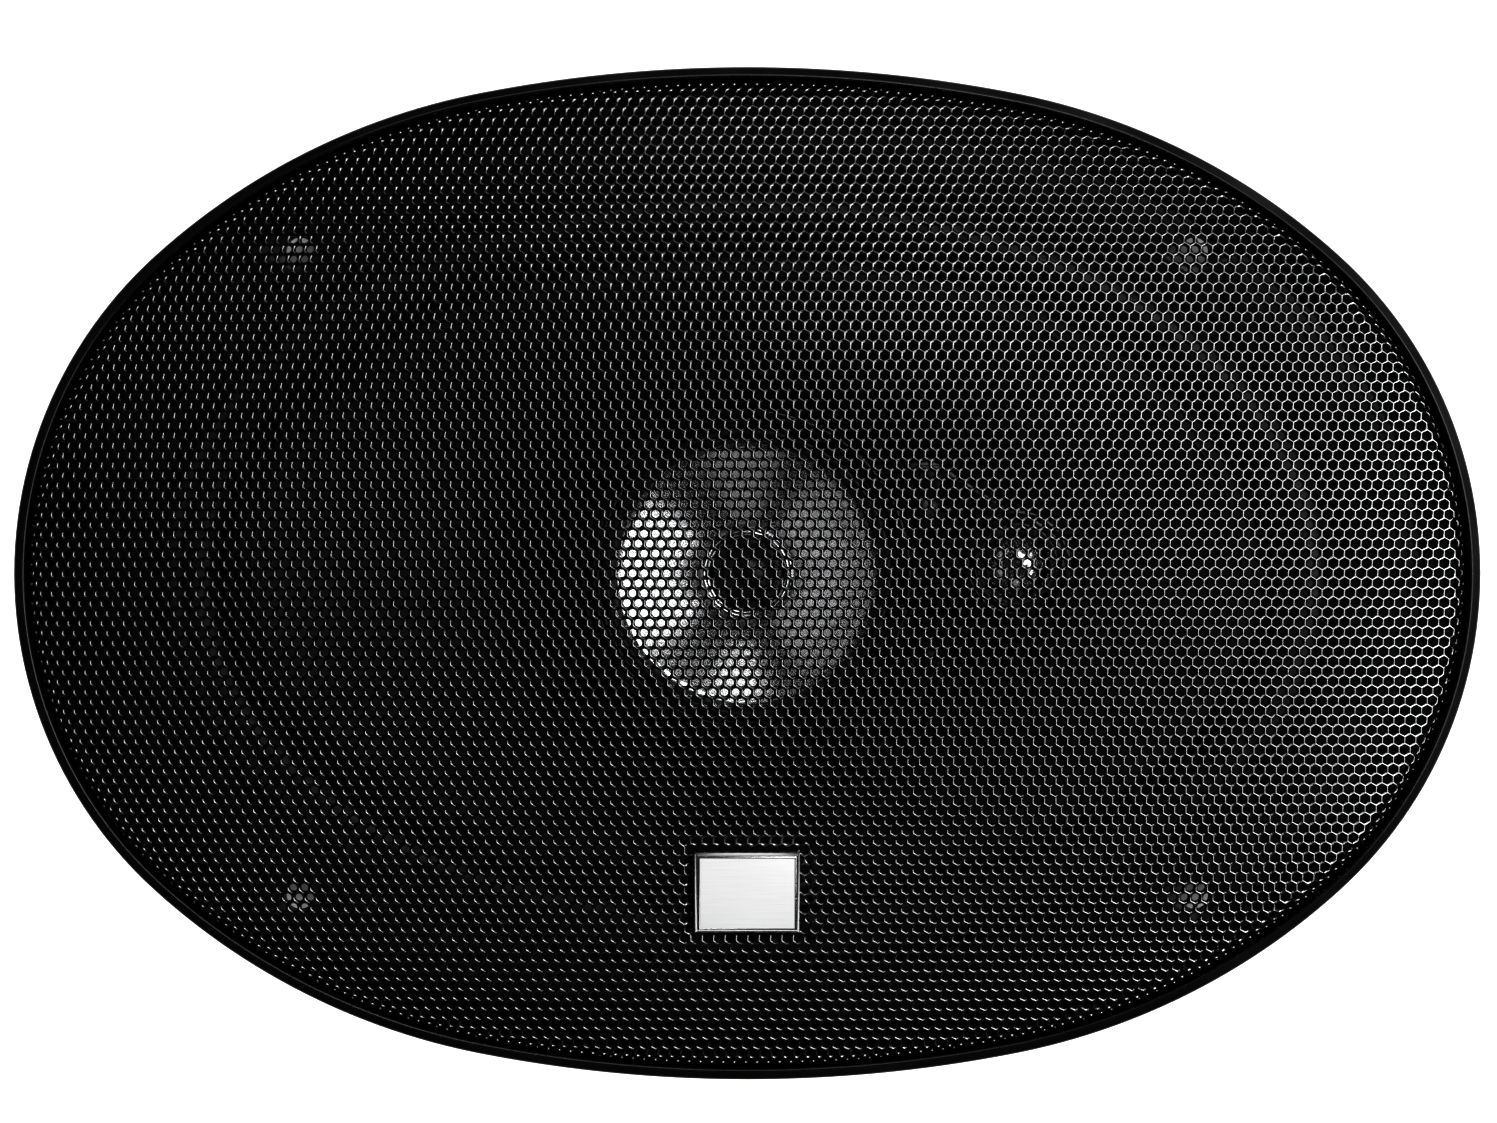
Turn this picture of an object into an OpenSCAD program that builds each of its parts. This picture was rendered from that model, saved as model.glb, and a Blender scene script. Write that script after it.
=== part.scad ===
// Oval coaxial car speaker with a perforated grille.
// The speaker's axis is +Z with the grille up, and its long axis is X. The rear face of the flange,
// which lies on the car's panel, is at z = 0, and the origin is the middle of the four screw holes.

/* [Overall] */
// Length of the grille over its frame
overall_length = 244; // [210:1:295]
// Width of the grille over its frame
overall_width = 168.5; // [150:0.5:203]
// Height of the grille's crown above the panel
grille_height = 22; // [18.5:0.5:27]
// Depth from the panel to the back of the magnet
mounting_depth = 82; // [68:1:99]

/* [Basket] */
// Thickness of the flange and the other sheet steel
sheet_t = 1.2; // [1:0.1:1.5]
// Diameter of the four screw holes
screw_hole_d = 4.6; // [3.8:0.1:5.6]
// Distance of the screw holes from the grille's ends, along X
screw_inset_x = 47; // [40:0.5:56]
// Distance of the screw holes from the grille's sides, along Y
screw_inset_y = 30.25; // [28:0.25:34]
// Width of each arm of the basket
arm_w = 12; // [10:0.5:14.5]
// Height of the cup from the motor to the spider's shelf
cup_depth = 14.2; // [12:0.1:17]

/* [Woofer] */
// Width of the surround's half roll
roll_w = 14; // [11.5:0.1:17]
// Diameter of the voice coil's former
coil_d = 30; // [25:0.5:36]
// Height of the coil winding
winding_h = 12; // [10:0.5:14.5]
// Diameter of the ferrite magnet
magnet_d = 96; // [88:1:105]
// Thickness of the ferrite magnet
magnet_t = 17; // [14:0.5:20.5]

/* [Mid-range and tweeter] */
// Diameter of the round pod
pod_d = 56; // [52:0.2:68]
// Diameter of the mid-range cone over its edge
mid_d = 43; // [36:0.5:44]
// Diameter of the small tweeter's pod
tweeter_d = 18; // [16:0.5:21.5]
// Distance from the speaker's axis to the tweeter's
tweeter_x = 45; // [42:0.5:52]

/* [Hidden] */
$fn = 96;

// Clearance of a moving piece, of a glued joint and of a cut that runs through
run = 0.4;
glue = 0.1;
through = 1;

// Screw holes
screw_x = overall_length / 2 - screw_inset_x;
screw_y = overall_width / 2 - screw_inset_y;
dimple_r = screw_hole_d / 2 + 1.1;
dimple_h = 0.4;

// Ovals: share of the end radius in b * b / a, and the normals where the arcs meet
outer_k = 1.224;
outer_lo = 47.6;
outer_hi = 78.9;
inner_k = 1.113;
inner_lo = 40.7;
inner_hi = 70.2;
end_steps = 8;
corner_steps = 6;
side_steps = 4;

// Grille frame, counted inwards from its outer edge
skirt_w = 1.7;
skirt_top = 9.2;
ledge_w = 8.6;
ledge_t = 2;
flange_inset = skirt_w + 0.6;
peg_inset = 6;
peg_r = 1.5;
peg_tip = 0.1;
bead_step = 45;

// Grille mesh
mesh_t = 1;
mesh_inset = skirt_w + run;
shoulder_r = 3;
ledge_z = sheet_t + ledge_t;
shoulder_z = ledge_z + 3;
shoulder_turns = [0, 30, 60, 90];
dome_shares = [0.85, 0.68, 0.48, 0.25];

// Badge on the mesh
badge_w = 17.3;
badge_h = 13.6;
badge_y = -52.4;
badge_t = 1.8;
badge_bevel = 0.6;
face_t = 0.5;
stud_x = 5;
stud_r = 1;
stud_len = 4;

// Surround: its lip ends inside the screw holes, and its crest lies on the inner oval
roll_r = roll_w / 2;
rubber_t = 0.8;
lip_w = 3.5;
lip_inset_x = 18.5;
lip_inset_y = 13.75;
crest_a = overall_length / 2 - lip_inset_x - lip_w - roll_r;
crest_b = overall_width / 2 - lip_inset_y - lip_w - roll_r;
gasket_t = 2;
arc_step = 15;
roll_step = 22.5;

// Basket below the flange
wall_in = roll_r + 0.6;
wall_out = wall_in + sheet_t;
wall_depth = 8;
arm_angles = [24, 66, 114, 156, 204, 246, 294, 336];
arm_top_in = 2;
arm_rib = 1.6;

// Motor, from the back
yoke_t = 6;
plate_t = 6;
back_z = -mounting_depth;
magnet_z = back_z + yoke_t;
plate_z = magnet_z + magnet_t;
floor_z = plate_z + plate_t;
coil_r = coil_d / 2;
former_t = 0.3;
wire_t = 0.6;
pole_r = coil_r - run;
pole_top = floor_z + 0.6;
gap_r = coil_r + former_t + wire_t + run;
magnet_in_r = gap_r + 5.7;
yoke_r = magnet_d / 2 - 1;
yoke_bevel = 1.5;
rivet_orbit = magnet_d / 3;
rivet_r = 2;

// Cup and spider
shelf_z = floor_z + cup_depth;
neck_z = shelf_z + 9.6;
cup_r = magnet_d / 2 - 2;
shelf_r = cup_r + 10;
spider_r = cup_r + 4;
spider_t = 0.6;
ripple_h = 1.5;
ripple_n = 5;
ripple_in = coil_r + 4;
ripple_out = cup_r - 2;
winding_z = plate_z + (plate_t - winding_h) / 2;
former_low = winding_z - 3;

// Cone
paper_t = 0.8;
cone_lip_w = 3;
cone_z = sheet_t;
neck_r = coil_r + former_t + 0.3;
flare = 1.3;
cone_steps = 5;

// Post and its screw
post_r = 5;
post_screw_r = 2;
post_head_r = 4.4;
post_head_h = 3;
post_screw_len = 34;

// Mid-range, upwards from the pod's floor
pod_r = pod_d / 2;
pod_floor = -10;
pod_floor_t = 1;
pod_top = 8;
mid_r = mid_d / 2;
mid_dome_r = 6.35;
mid_ring_r = 7.6;
mid_paper_t = 0.5;
mid_hub_z = 2.2;
mid_coil_in = 7.2;
mid_coil_out = 8.2;
mid_coil_low = -6;
mid_cup_r = 12;
mid_cup_floor_t = 1.5;
mid_magnet_r = 6.3;
mid_magnet_t = 3;
mid_pole_r = 6.9;
mid_pole_t = 1.5;
mid_roll_r = 0.9;
mid_roll_t = 0.3;
mid_film_t = 0.4;
mid_lap = 1.1;
mid_roll_x = mid_r + mid_lap + 0.9;
pod_bore_r = mid_roll_x + mid_roll_r - 0.2;
mid_lip_r = pod_bore_r + 1.2;
trim_in_r = pod_r - 3.4;
trim_top = pod_top + 2.4;

// Tweeter beside it
tweeter_y = 1.5;
tweeter_r = tweeter_d / 2;
tweeter_floor = -2;
tweeter_wall = 1;
tweeter_top = 8;
tweeter_dome_r = 5.6;
tweeter_dome_h = 2.6;
tweeter_lip_z = 5.6;
tweeter_lip_t = 0.4;
tweeter_motor_top = 3;
tweeter_groove = 2;
tweeter_coil_r = 5.5;
tweeter_coil_t = 0.6;
bridge_z = 3;
bridge_t = 3.5;
pod_screw_x = pod_r + 2.5;
pod_screw_y = 15;
pod_screw_r = 1.4;
lug_r = 3.6;
lug_low = 0;

// Terminals, on the basket's -Y side
tab_x = 5;
weld_gap = 1;
board_x = 22;
board_t = 1.6;
tab_y = -(shelf_r + sheet_t);
board_y = tab_y - board_t;
board_top = shelf_z - sheet_t - 0.6;
board_low = board_top - 21.5;
blade_x = 8;
blade_t = 0.8;
positive_w = 6.3;
negative_w = 4.8;
blade_top = board_low + 8;
blade_low = board_low - 10;
blade_tip = 1.2;
blade_rivet_z = board_low + 3;
board_rivet_zs = [board_top - 3, board_low + 4];
small_rivet_r = 1.2;
small_head_r = 2;
small_head_h = 0.8;
capacitor_x = 17;
capacitor_r = 3.5;
capacitor_len = 13;
capacitor_flat = 0.3;
lead_r = 0.6;
lead_steps = 10;
lead_sides = 8;
lead_share = 0.55;
lead_gap = 0.9;

// ---- Ovals -----------------------------------------------------------------------------------

// Three arcs a quadrant: [centre, radius] of the end, corner and side arcs, then the two normals
// where they meet. a and b are the half length and half width.
function oval(a, b, k, lo, hi) =
    let (r3 = k * b * b / a,
         p = cos(hi), q = cos(lo) - cos(hi),
         u = sin(hi) - 1, v = sin(lo) - sin(hi),
         e = a - r3 + r3 * cos(lo), f = r3 * sin(lo) - b,
         det = p * v - q * u,
         r1 = (e * v - q * f) / det,
         r2 = (p * f - u * e) / det,
         c1 = [0, b - r1],
         c2 = c1 + (r1 - r2) * [cos(hi), sin(hi)],
         c3 = c2 + (r2 - r3) * [cos(lo), sin(lo)])
    [[c3, r3], [c2, r2], [c1, r1], lo, hi];

outer = oval(overall_length / 2, overall_width / 2, outer_k, outer_lo, outer_hi);
crest = oval(crest_a, crest_b, inner_k, inner_lo, inner_hi);

// Normals of one quadrant, from the X axis up to but not including the Y axis
function quadrant(o) = concat(
    [for (i = [0:end_steps - 1]) o[3] * i / end_steps],
    [for (i = [0:corner_steps - 1]) o[3] + (o[4] - o[3]) * i / corner_steps],
    [for (i = [0:side_steps - 1]) o[4] + (90 - o[4]) * i / side_steps]);

function normals(o) =
    let (q = quadrant(o), back = [for (i = [len(q) - 1:-1:1]) q[i]])
    concat(q, [90], [for (t = back) 180 - t], [for (t = q) 180 + t], [270], [for (t = back) 360 - t]);

// Point of the oval where its normal points at angle t, moved outwards by d
function oval_point(o, t, d) =
    let (m = acos(abs(cos(t))),
         arc = m < o[3] ? o[0] : m < o[4] ? o[1] : o[2],
         p = arc[0] + (arc[1] + d) * [cos(m), sin(m)])
    [cos(t) < 0 ? -p.x : p.x, sin(t) < 0 ? -p.y : p.y];

function oval_ring(o, d, z) = [for (t = normals(o)) let (p = oval_point(o, t, d)) [p.x, p.y, z]];

// Flat ring between the ovals that lie d0 and d1 outside o, from height z0 to z1
module oval_band(o, d0, d1, z0, z1) {
    translate([0, 0, z0])
        linear_extrude(z1 - z0)
            difference() {
                oval_face(o, d1);
                oval_face(o, d0);
            }
}

module oval_face(o, d) {
    polygon([for (t = normals(o)) oval_point(o, t, d)]);
}

// Solid ring with this profile, whose x is counted outwards from the oval and whose y is the height.
// The profile turns anticlockwise.
module oval_loft(o, profile) {
    ring_loft([for (p = profile) oval_ring(o, p.x, p.y)]);
}

// ---- General shapes --------------------------------------------------------------------------

module tube(r_out, r_in, z0, z1) {
    difference() {
        translate([0, 0, z0]) cylinder(r = r_out, h = z1 - z0);
        translate([0, 0, z0 - through]) cylinder(r = r_in, h = z1 - z0 + 2 * through);
    }
}

module rod(r, z0, z1) {
    translate([0, 0, z0]) cylinder(r = r, h = z1 - z0);
}

module box(x0, x1, y0, y1, z0, z1) {
    translate([x0, y0, z0]) cube([x1 - x0, y1 - y0, z1 - z0]);
}

// Skin through closed rings of points, where the last ring joins the first
module ring_loft(rings) {
    n = len(rings[0]);
    m = len(rings);
    polyhedron(
        points = [for (ring = rings) each ring],
        faces = [for (j = [0:m - 1], i = [0:n - 1])
            let (a = j * n + i, b = j * n + (i + 1) % n,
                 d = ((j + 1) % m) * n + i, c = ((j + 1) % m) * n + (i + 1) % n)
            each [[a, d, c], [a, c, b]]]);
}

// Domed sheet from two equal stacks of rings, each closed by its own apex
module dome_sheet(upper, upper_apex, lower, lower_apex) {
    n = len(upper[0]);
    k = len(upper);
    skin = k * n + 1;
    quads = [for (j = [0:k - 2], i = [0:n - 1])
        [j * n + i, j * n + (i + 1) % n, (j + 1) * n + (i + 1) % n, (j + 1) * n + i]];
    polyhedron(
        points = concat([for (ring = upper) each ring], [upper_apex],
                        [for (ring = lower) each ring], [lower_apex]),
        faces = concat(
            [for (q = quads) each [[q[0], q[3], q[2]], [q[0], q[2], q[1]]]],
            [for (q = quads) each [[q[0] + skin, q[1] + skin, q[2] + skin],
                                   [q[0] + skin, q[2] + skin, q[3] + skin]]],
            [for (i = [0:n - 1]) let (a = (k - 1) * n + i, b = (k - 1) * n + (i + 1) % n)
                each [[a, skin - 1, b], [a + skin, b + skin, 2 * skin - 1]]],
            [for (i = [0:n - 1]) let (b = (i + 1) % n)
                each [[i, b, b + skin], [i, b + skin, i + skin]]]));
}

// Rivet or screw along +Z: a shank, and a head with a sloping rim on top of it
module headed(shank_r, z0, z1, head_r, head_h) {
    rod(shank_r, z0, z1);
    translate([0, 0, z1]) cylinder(r1 = head_r, r2 = 0.7 * head_r, h = head_h);
}

// ---- Basket ----------------------------------------------------------------------------------

module at_screws() {
    for (x = [-screw_x, screw_x], y = [-screw_y, screw_y]) translate([x, y, 0]) children();
}

module at_pegs() {
    for (s = [-1, 1]) {
        translate([s * (overall_length / 2 - peg_inset), 0, 0]) children();
        translate([0, s * (overall_width / 2 - peg_inset), 0]) children();
    }
}

module basket_flange() {
    color([0.12, 0.12, 0.13])
    difference() {
        union() {
            linear_extrude(sheet_t)
                difference() {
                    oval_face(outer, -flange_inset);
                    oval_face(crest, wall_in);
                }
            oval_band(crest, wall_in, wall_out, -wall_depth, sheet_t);
        }
        at_screws() {
            rod(screw_hole_d / 2, -through, sheet_t + through);
            translate([0, 0, sheet_t - dimple_h])
                cylinder(r1 = screw_hole_d / 2, r2 = dimple_r, h = dimple_h + glue);
        }
        at_pegs() rod(peg_r + run, -through, sheet_t + through);
    }
}

// Distance from the axis to the basket's side wall in the direction of angle t
function wall_r(t) = 1 / norm([cos(t) / (crest_a + wall_out), sin(t) / (crest_b + wall_out)]);

// Pressed channel that slopes from the side wall in to the spider's shelf
module arm(t) {
    foot_in = spider_r + 0.8;
    foot_out = shelf_r - 0.2;
    head_out = wall_r(t) - 0.4;
    head_in = head_out - arm_top_in;
    rotate([90, 0, t])
        difference() {
            linear_extrude(arm_w, center = true)
                polygon([[foot_in, shelf_z], [foot_out, shelf_z],
                         [head_out, -wall_depth], [head_in, -wall_depth]]);
            linear_extrude(arm_w - 2 * arm_rib, center = true)
                polygon([[foot_in + arm_rib, shelf_z - through], [foot_out + through, shelf_z - through],
                         [head_out + through, -wall_depth - arm_rib],
                         [head_in + arm_rib / 2, -wall_depth - arm_rib]]);
        }
}

module basket_arms() {
    color([0.12, 0.12, 0.13])
    for (t = arm_angles) arm(t);
}

module basket_cup() {
    color([0.12, 0.12, 0.13])
    difference() {
        rotate_extrude()
            polygon([[magnet_in_r - 4, floor_z], [cup_r, floor_z], [cup_r, shelf_z - sheet_t],
                     [shelf_r, shelf_z - sheet_t], [shelf_r, shelf_z],
                     [cup_r - sheet_t, shelf_z], [cup_r - sheet_t, floor_z + sheet_t],
                     [magnet_in_r - 4, floor_z + sheet_t]]);
        at_frame_rivets() rod(rivet_r, floor_z - through, floor_z + sheet_t + through);
    }
}

module front_gasket() {
    color([0.08, 0.08, 0.08])
    oval_band(crest, roll_r + 0.4, roll_r + lip_w, sheet_t + rubber_t, sheet_t + rubber_t + gasket_t);
}

// ---- Woofer ----------------------------------------------------------------------------------

// The roll rises from where its outer side meets the flat top of each lip
module surround() {
    roll = [for (a = [roll_step:roll_step:180 - roll_step]) [cos(a), sin(a)]];
    back = [for (i = [len(roll) - 1:-1:0]) roll[i]];
    meet_x = sqrt(roll_r * roll_r - rubber_t * rubber_t);
    section = concat(
        [[roll_r + lip_w, 0], [roll_r + lip_w, rubber_t], [meet_x, rubber_t]],
        roll_r * roll,
        [[-meet_x, rubber_t], [-roll_r - cone_lip_w, rubber_t], [-roll_r - cone_lip_w, 0],
         [rubber_t - roll_r, 0]],
        (roll_r - rubber_t) * back,
        [[roll_r - rubber_t, 0]]);
    color([0.07, 0.07, 0.07]) oval_loft(crest, [for (p = section) p + [0, sheet_t]]);
}

// Point of the cone at share s of the way in from its lip, and its height
function cone_point(p, s) = (1 - s) * p + s * neck_r * p / norm(p);
function cone_height(s) = cone_z - (cone_z - neck_z) * pow(s, flare);
function cone_ring(s, drop) =
    [for (p = oval_ring(crest, -roll_r - cone_lip_w, 0))
        let (q = cone_point([p.x, p.y], s)) [q.x, q.y, cone_height(s) - drop]];

module woofer_cone() {
    color([0.16, 0.16, 0.17])
    ring_loft(concat(
        [oval_ring(crest, -roll_r, cone_z)],
        [for (i = [0:cone_steps]) cone_ring(i / cone_steps, 0)],
        [for (i = [cone_steps:-1:0]) cone_ring(i / cone_steps, paper_t)],
        [oval_ring(crest, -roll_r, cone_z - paper_t)]));
}

module coil_former() {
    color([0.75, 0.5, 0.3]) tube(coil_r + former_t, coil_r, former_low, neck_z + 1);
}

module coil_winding() {
    color([0.72, 0.4, 0.2])
        tube(coil_r + former_t + wire_t, coil_r + former_t, winding_z, winding_z + winding_h);
}

module dust_shield() {
    color([0.1, 0.1, 0.1]) tube(coil_r, post_r + 2 * run, neck_z - 1, neck_z);
}

// Waves of the spider between its two flat rims
function ripple(i) =
    let (s = i / (4 * ripple_n))
    [ripple_in + (ripple_out - ripple_in) * s, ripple_h * sin(360 * ripple_n * s)];

module spider() {
    wave = [for (i = [0:4 * ripple_n]) ripple(i)];
    line = concat([[coil_r + former_t + glue, 0]], wave, [[spider_r, 0]]);
    n = len(line);
    color([0.75, 0.62, 0.3])
    translate([0, 0, shelf_z])
        rotate_extrude()
            polygon(concat(line, [for (i = [n - 1:-1:0]) line[i] + [0, spider_t]]));
}

// ---- Motor -----------------------------------------------------------------------------------

module at_frame_rivets() {
    for (t = [45:90:315]) rotate(t) translate([rivet_orbit, 0, 0]) children();
}

module top_plate() {
    color([0.6, 0.61, 0.62])
    difference() {
        tube(yoke_r, gap_r, plate_z, floor_z);
        at_frame_rivets() rod(rivet_r, plate_z - through, floor_z + through);
    }
}

module magnet_ring() {
    color([0.1, 0.1, 0.11]) tube(magnet_d / 2, magnet_in_r, magnet_z, plate_z);
}

module back_yoke() {
    color([0.6, 0.61, 0.62])
    difference() {
        rotate_extrude()
            polygon([[0, back_z], [yoke_r - yoke_bevel, back_z], [yoke_r, back_z + yoke_bevel],
                     [yoke_r, magnet_z], [pole_r, magnet_z], [pole_r, pole_top], [0, pole_top]]);
        rod(post_screw_r + glue, back_z - through, pole_top + through);
        rod(post_head_r + run, back_z - through, back_z + post_head_h);
    }
}

module frame_rivets() {
    color([0.7, 0.71, 0.72])
    at_frame_rivets() headed(rivet_r - glue, plate_z + glue, floor_z + sheet_t, 2 * rivet_r, 1.5);
}

module pod_post() {
    color([0.15, 0.15, 0.15])
    difference() {
        rod(post_r, pole_top, pod_floor);
        rod(post_screw_r + glue, pole_top - through, pole_top + post_screw_len);
    }
}

module post_screw() {
    color([0.7, 0.71, 0.72]) {
        rod(post_screw_r, back_z + post_head_h, back_z + post_screw_len);
        difference() {
            rod(post_head_r, back_z + glue, back_z + post_head_h);
            box(-post_head_r, post_head_r, -0.5, 0.5, back_z - through, back_z + 1);
            box(-0.5, 0.5, -post_head_r, post_head_r, back_z - through, back_z + 1);
        }
    }
}

// ---- Terminals -------------------------------------------------------------------------------

// Rivet that lies along Y, with its head on the side of -Y at face_y
module side_rivet(x, z, face_y, len) {
    translate([x, face_y, z])
        rotate([90, 0, 0]) headed(small_rivet_r - glue, -len, 0, small_head_r, small_head_h);
}

// Strip welded under the spider's shelf, bent down to carry the board
module terminal_bracket() {
    color([0.12, 0.12, 0.13])
    difference() {
        union() {
            box(-tab_x, tab_x, tab_y, -cup_r - weld_gap, shelf_z - 2 * sheet_t, shelf_z - sheet_t);
            box(-tab_x, tab_x, tab_y, tab_y + sheet_t, board_low, shelf_z - sheet_t);
        }
        for (z = board_rivet_zs)
            translate([0, tab_y, z]) rotate([90, 0, 0])
                cylinder(r = small_rivet_r, h = 4 * sheet_t, center = true);
    }
}

module terminal_board() {
    color([0.35, 0.22, 0.1])
    difference() {
        box(-board_x, board_x, board_y, tab_y, board_low, board_top);
        for (z = board_rivet_zs) board_hole(0, z);
        for (s = [-1, 1]) board_hole(s * blade_x, blade_rivet_z);
    }
}

module board_hole(x, z) {
    translate([x, board_y, z]) rotate([90, 0, 0])
        cylinder(r = small_rivet_r, h = 4 * board_t, center = true);
}

// Push-on blade with a pointed tip, a locking hole and a rivet hole
module blade(x, w) {
    color([0.85, 0.83, 0.75])
    difference() {
        translate([x, board_y, 0]) rotate([90, 0, 0])
            linear_extrude(blade_t)
                polygon([[-w / 2, blade_top], [-w / 2, blade_low + blade_tip],
                         [-w / 2 + blade_tip, blade_low], [w / 2 - blade_tip, blade_low],
                         [w / 2, blade_low + blade_tip], [w / 2, blade_top]]);
        board_hole(x, blade_rivet_z);
        board_hole(x, blade_low + 5);
    }
}

module positive_blade() {
    blade(-blade_x, positive_w);
}

module negative_blade() {
    blade(blade_x, negative_w);
}

module terminal_rivets() {
    color([0.8, 0.7, 0.45])
    for (s = [-1, 1]) side_rivet(s * blade_x, blade_rivet_z, board_y - blade_t, blade_t + board_t - glue);
}

module board_rivets() {
    color([0.7, 0.71, 0.72])
    for (z = board_rivet_zs) side_rivet(0, z, board_y, board_t + sheet_t);
}

module crossover_capacitors() {
    middle_y = board_y - capacitor_r + capacitor_flat;
    middle_z = (board_top + board_low) / 2;
    color([0.1, 0.15, 0.3])
    for (s = [-1, 1])
        difference() {
            translate([s * capacitor_x, middle_y, middle_z])
                cylinder(r = capacitor_r, h = capacitor_len, center = true);
            box(-board_x - through, board_x + through, board_y, board_y + capacitor_r,
                board_low - through, board_top + through);
        }
}

// Cubic curve from the blade up over the shelf to the back of the cone, as [y, z]
cone_end = cone_point([0, -(crest_b - roll_r - cone_lip_w)], lead_share);
lead_route = [[board_y - blade_t - lead_gap, blade_top + lead_gap], [board_y - 3, shelf_z + 9],
              [tab_y + 1, shelf_z + 16.6], [cone_end.y, cone_height(lead_share) - paper_t - lead_gap]];

function lead_at(s) =
    let (u = 1 - s)
    u * u * u * lead_route[0] + 3 * u * u * s * lead_route[1]
    + 3 * u * s * s * lead_route[2] + s * s * s * lead_route[3];

function lead_ring(x, i) =
    let (s = i / lead_steps, p = lead_at(s), ahead = lead_at(s + 0.01) - lead_at(s - 0.01),
         side = [-ahead.y, ahead.x] / norm(ahead))
    [for (k = [0:lead_sides - 1])
        let (a = 360 * k / lead_sides)
        [x + lead_r * cos(a), p.x + lead_r * sin(a) * side.x, p.y + lead_r * sin(a) * side.y]];

module lead(x) {
    n = lead_sides;
    last = lead_steps * n;
    polyhedron(
        points = [for (i = [0:lead_steps]) each lead_ring(x, i)],
        faces = concat(
            [[for (k = [0:n - 1]) k]],
            [[for (k = [n - 1:-1:0]) last + k]],
            [for (i = [0:lead_steps - 1], k = [0:n - 1])
                let (a = i * n + k, b = i * n + (k + 1) % n)
                each [[a, a + n, b + n], [a, b + n, b]]]));
}

module tinsel_leads() {
    color([0.75, 0.55, 0.35]) {
        lead(-blade_x);
        lead(blade_x);
    }
}

// ---- Mid-range pod ---------------------------------------------------------------------------

module at_pod_screws() {
    for (s = [-1, 1]) translate([pod_screw_x, s * pod_screw_y, 0]) children();
}

module mid_housing() {
    color([0.1, 0.1, 0.1])
    difference() {
        union() {
            rotate_extrude()
                polygon([[0, pod_floor], [0.57 * pod_r, pod_floor], [0.9 * pod_r, -2],
                         [pod_r, bridge_z], [pod_r, pod_top], [pod_bore_r, pod_top],
                         [pod_bore_r, 2], [mid_cup_r + 2, -6], [mid_cup_r + glue, pod_floor + pod_floor_t],
                         [0, pod_floor + pod_floor_t]]);
            at_pod_screws() {
                rod(lug_r, lug_low, bridge_z);
                box(-lug_r - 4, 0, -lug_r, lug_r, lug_low, bridge_z);
            }
        }
        at_pod_screws() rod(pod_screw_r + glue, lug_low - through, bridge_z + glue);
    }
}

module mid_trim_ring() {
    color([0.1, 0.1, 0.1])
    rotate_extrude()
        polygon([[mid_lip_r + glue, pod_top], [pod_r, pod_top], [pod_r, trim_top - 0.9],
                 [pod_r - 0.4, trim_top - 0.3], [pod_r - 1, trim_top], [trim_in_r + 0.8, trim_top],
                 [trim_in_r, trim_top - 0.8], [trim_in_r, pod_top + mid_film_t + glue],
                 [mid_lip_r + glue, pod_top + mid_film_t + glue]]);
}

module mid_surround() {
    color([0.06, 0.06, 0.06])
    translate([0, 0, pod_top])
        rotate_extrude()
            translate([mid_roll_x, 0])
                polygon(concat(
                    [[mid_lip_r - mid_roll_x, 0], [mid_lip_r - mid_roll_x, mid_film_t]],
                    [for (a = [30:arc_step:150]) mid_roll_r * [cos(a), sin(a)]],
                    [[mid_r + 0.2 - mid_roll_x, mid_film_t], [mid_r + 0.2 - mid_roll_x, 0],
                     [mid_roll_t - mid_roll_r, 0]],
                    [for (a = [150:-arc_step:30]) (mid_roll_r - mid_roll_t) * [cos(a), sin(a)]],
                    [[mid_roll_r - mid_roll_t, 0]]));
}

// Height of the small cone at radius r, a shallow curve from its hub up to its edge
function mid_height(r) =
    mid_hub_z + (pod_top - mid_hub_z) * pow((r - mid_ring_r) / (mid_r - mid_ring_r), 0.85);

module mid_cone() {
    rs = [for (i = [0:6]) mid_ring_r + (mid_r - mid_ring_r) * i / 6];
    color([0.8, 0.81, 0.82])
    rotate_extrude()
        polygon(concat(
            [for (r = rs) [r, mid_height(r)]],
            [[mid_r + mid_lap, pod_top], [mid_r + mid_lap, pod_top - mid_paper_t]],
            [for (i = [6:-1:1]) [rs[i] + 0.2, mid_height(rs[i]) - mid_paper_t]],
            [[mid_coil_in, mid_hub_z - mid_paper_t], [mid_coil_in, mid_hub_z]]));
}

// Cap of a sphere whose rim has radius r and whose crown stands h above it, as a shell t thick
module cap(r, h, t) {
    ball = (r * r + h * h) / (2 * h);
    rotate_extrude()
        polygon(concat(
            [for (i = [0:8]) let (a = asin(r / ball) * i / 8) [ball * sin(a), h - ball + ball * cos(a)]],
            [for (i = [8:-1:0]) let (a = asin(r / ball) * i / 8)
                [(ball - t) * sin(a), max(0, h - ball + (ball - t) * cos(a))]]));
}

module mid_dome() {
    color([0.12, 0.12, 0.13]) translate([0, 0, mid_hub_z]) cap(mid_dome_r, 3.4, 0.5);
}

module mid_dome_ring() {
    color([0.85, 0.85, 0.86])
    rotate_extrude()
        polygon([[mid_dome_r + glue, mid_hub_z], [mid_ring_r, mid_hub_z], [mid_ring_r, mid_hub_z + 0.6],
                 [mid_ring_r - 0.3, mid_hub_z + 0.9], [mid_dome_r + 0.4, mid_hub_z + 0.9],
                 [mid_dome_r + glue, mid_hub_z + 0.6]]);
}

module mid_coil() {
    color([0.72, 0.4, 0.2]) tube(mid_coil_out, mid_coil_in, mid_coil_low, mid_hub_z - mid_paper_t);
}

module mid_magnet_cup() {
    low = pod_floor + pod_floor_t;
    high = low + mid_cup_floor_t + mid_magnet_t + mid_pole_t;
    color([0.6, 0.61, 0.62])
    difference() {
        rod(mid_cup_r, low, high);
        rod(mid_coil_out + run, low + mid_cup_floor_t, high + through);
    }
}

module mid_magnet() {
    low = pod_floor + pod_floor_t + mid_cup_floor_t;
    color([0.7, 0.7, 0.72]) rod(mid_magnet_r, low, low + mid_magnet_t);
}

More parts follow.
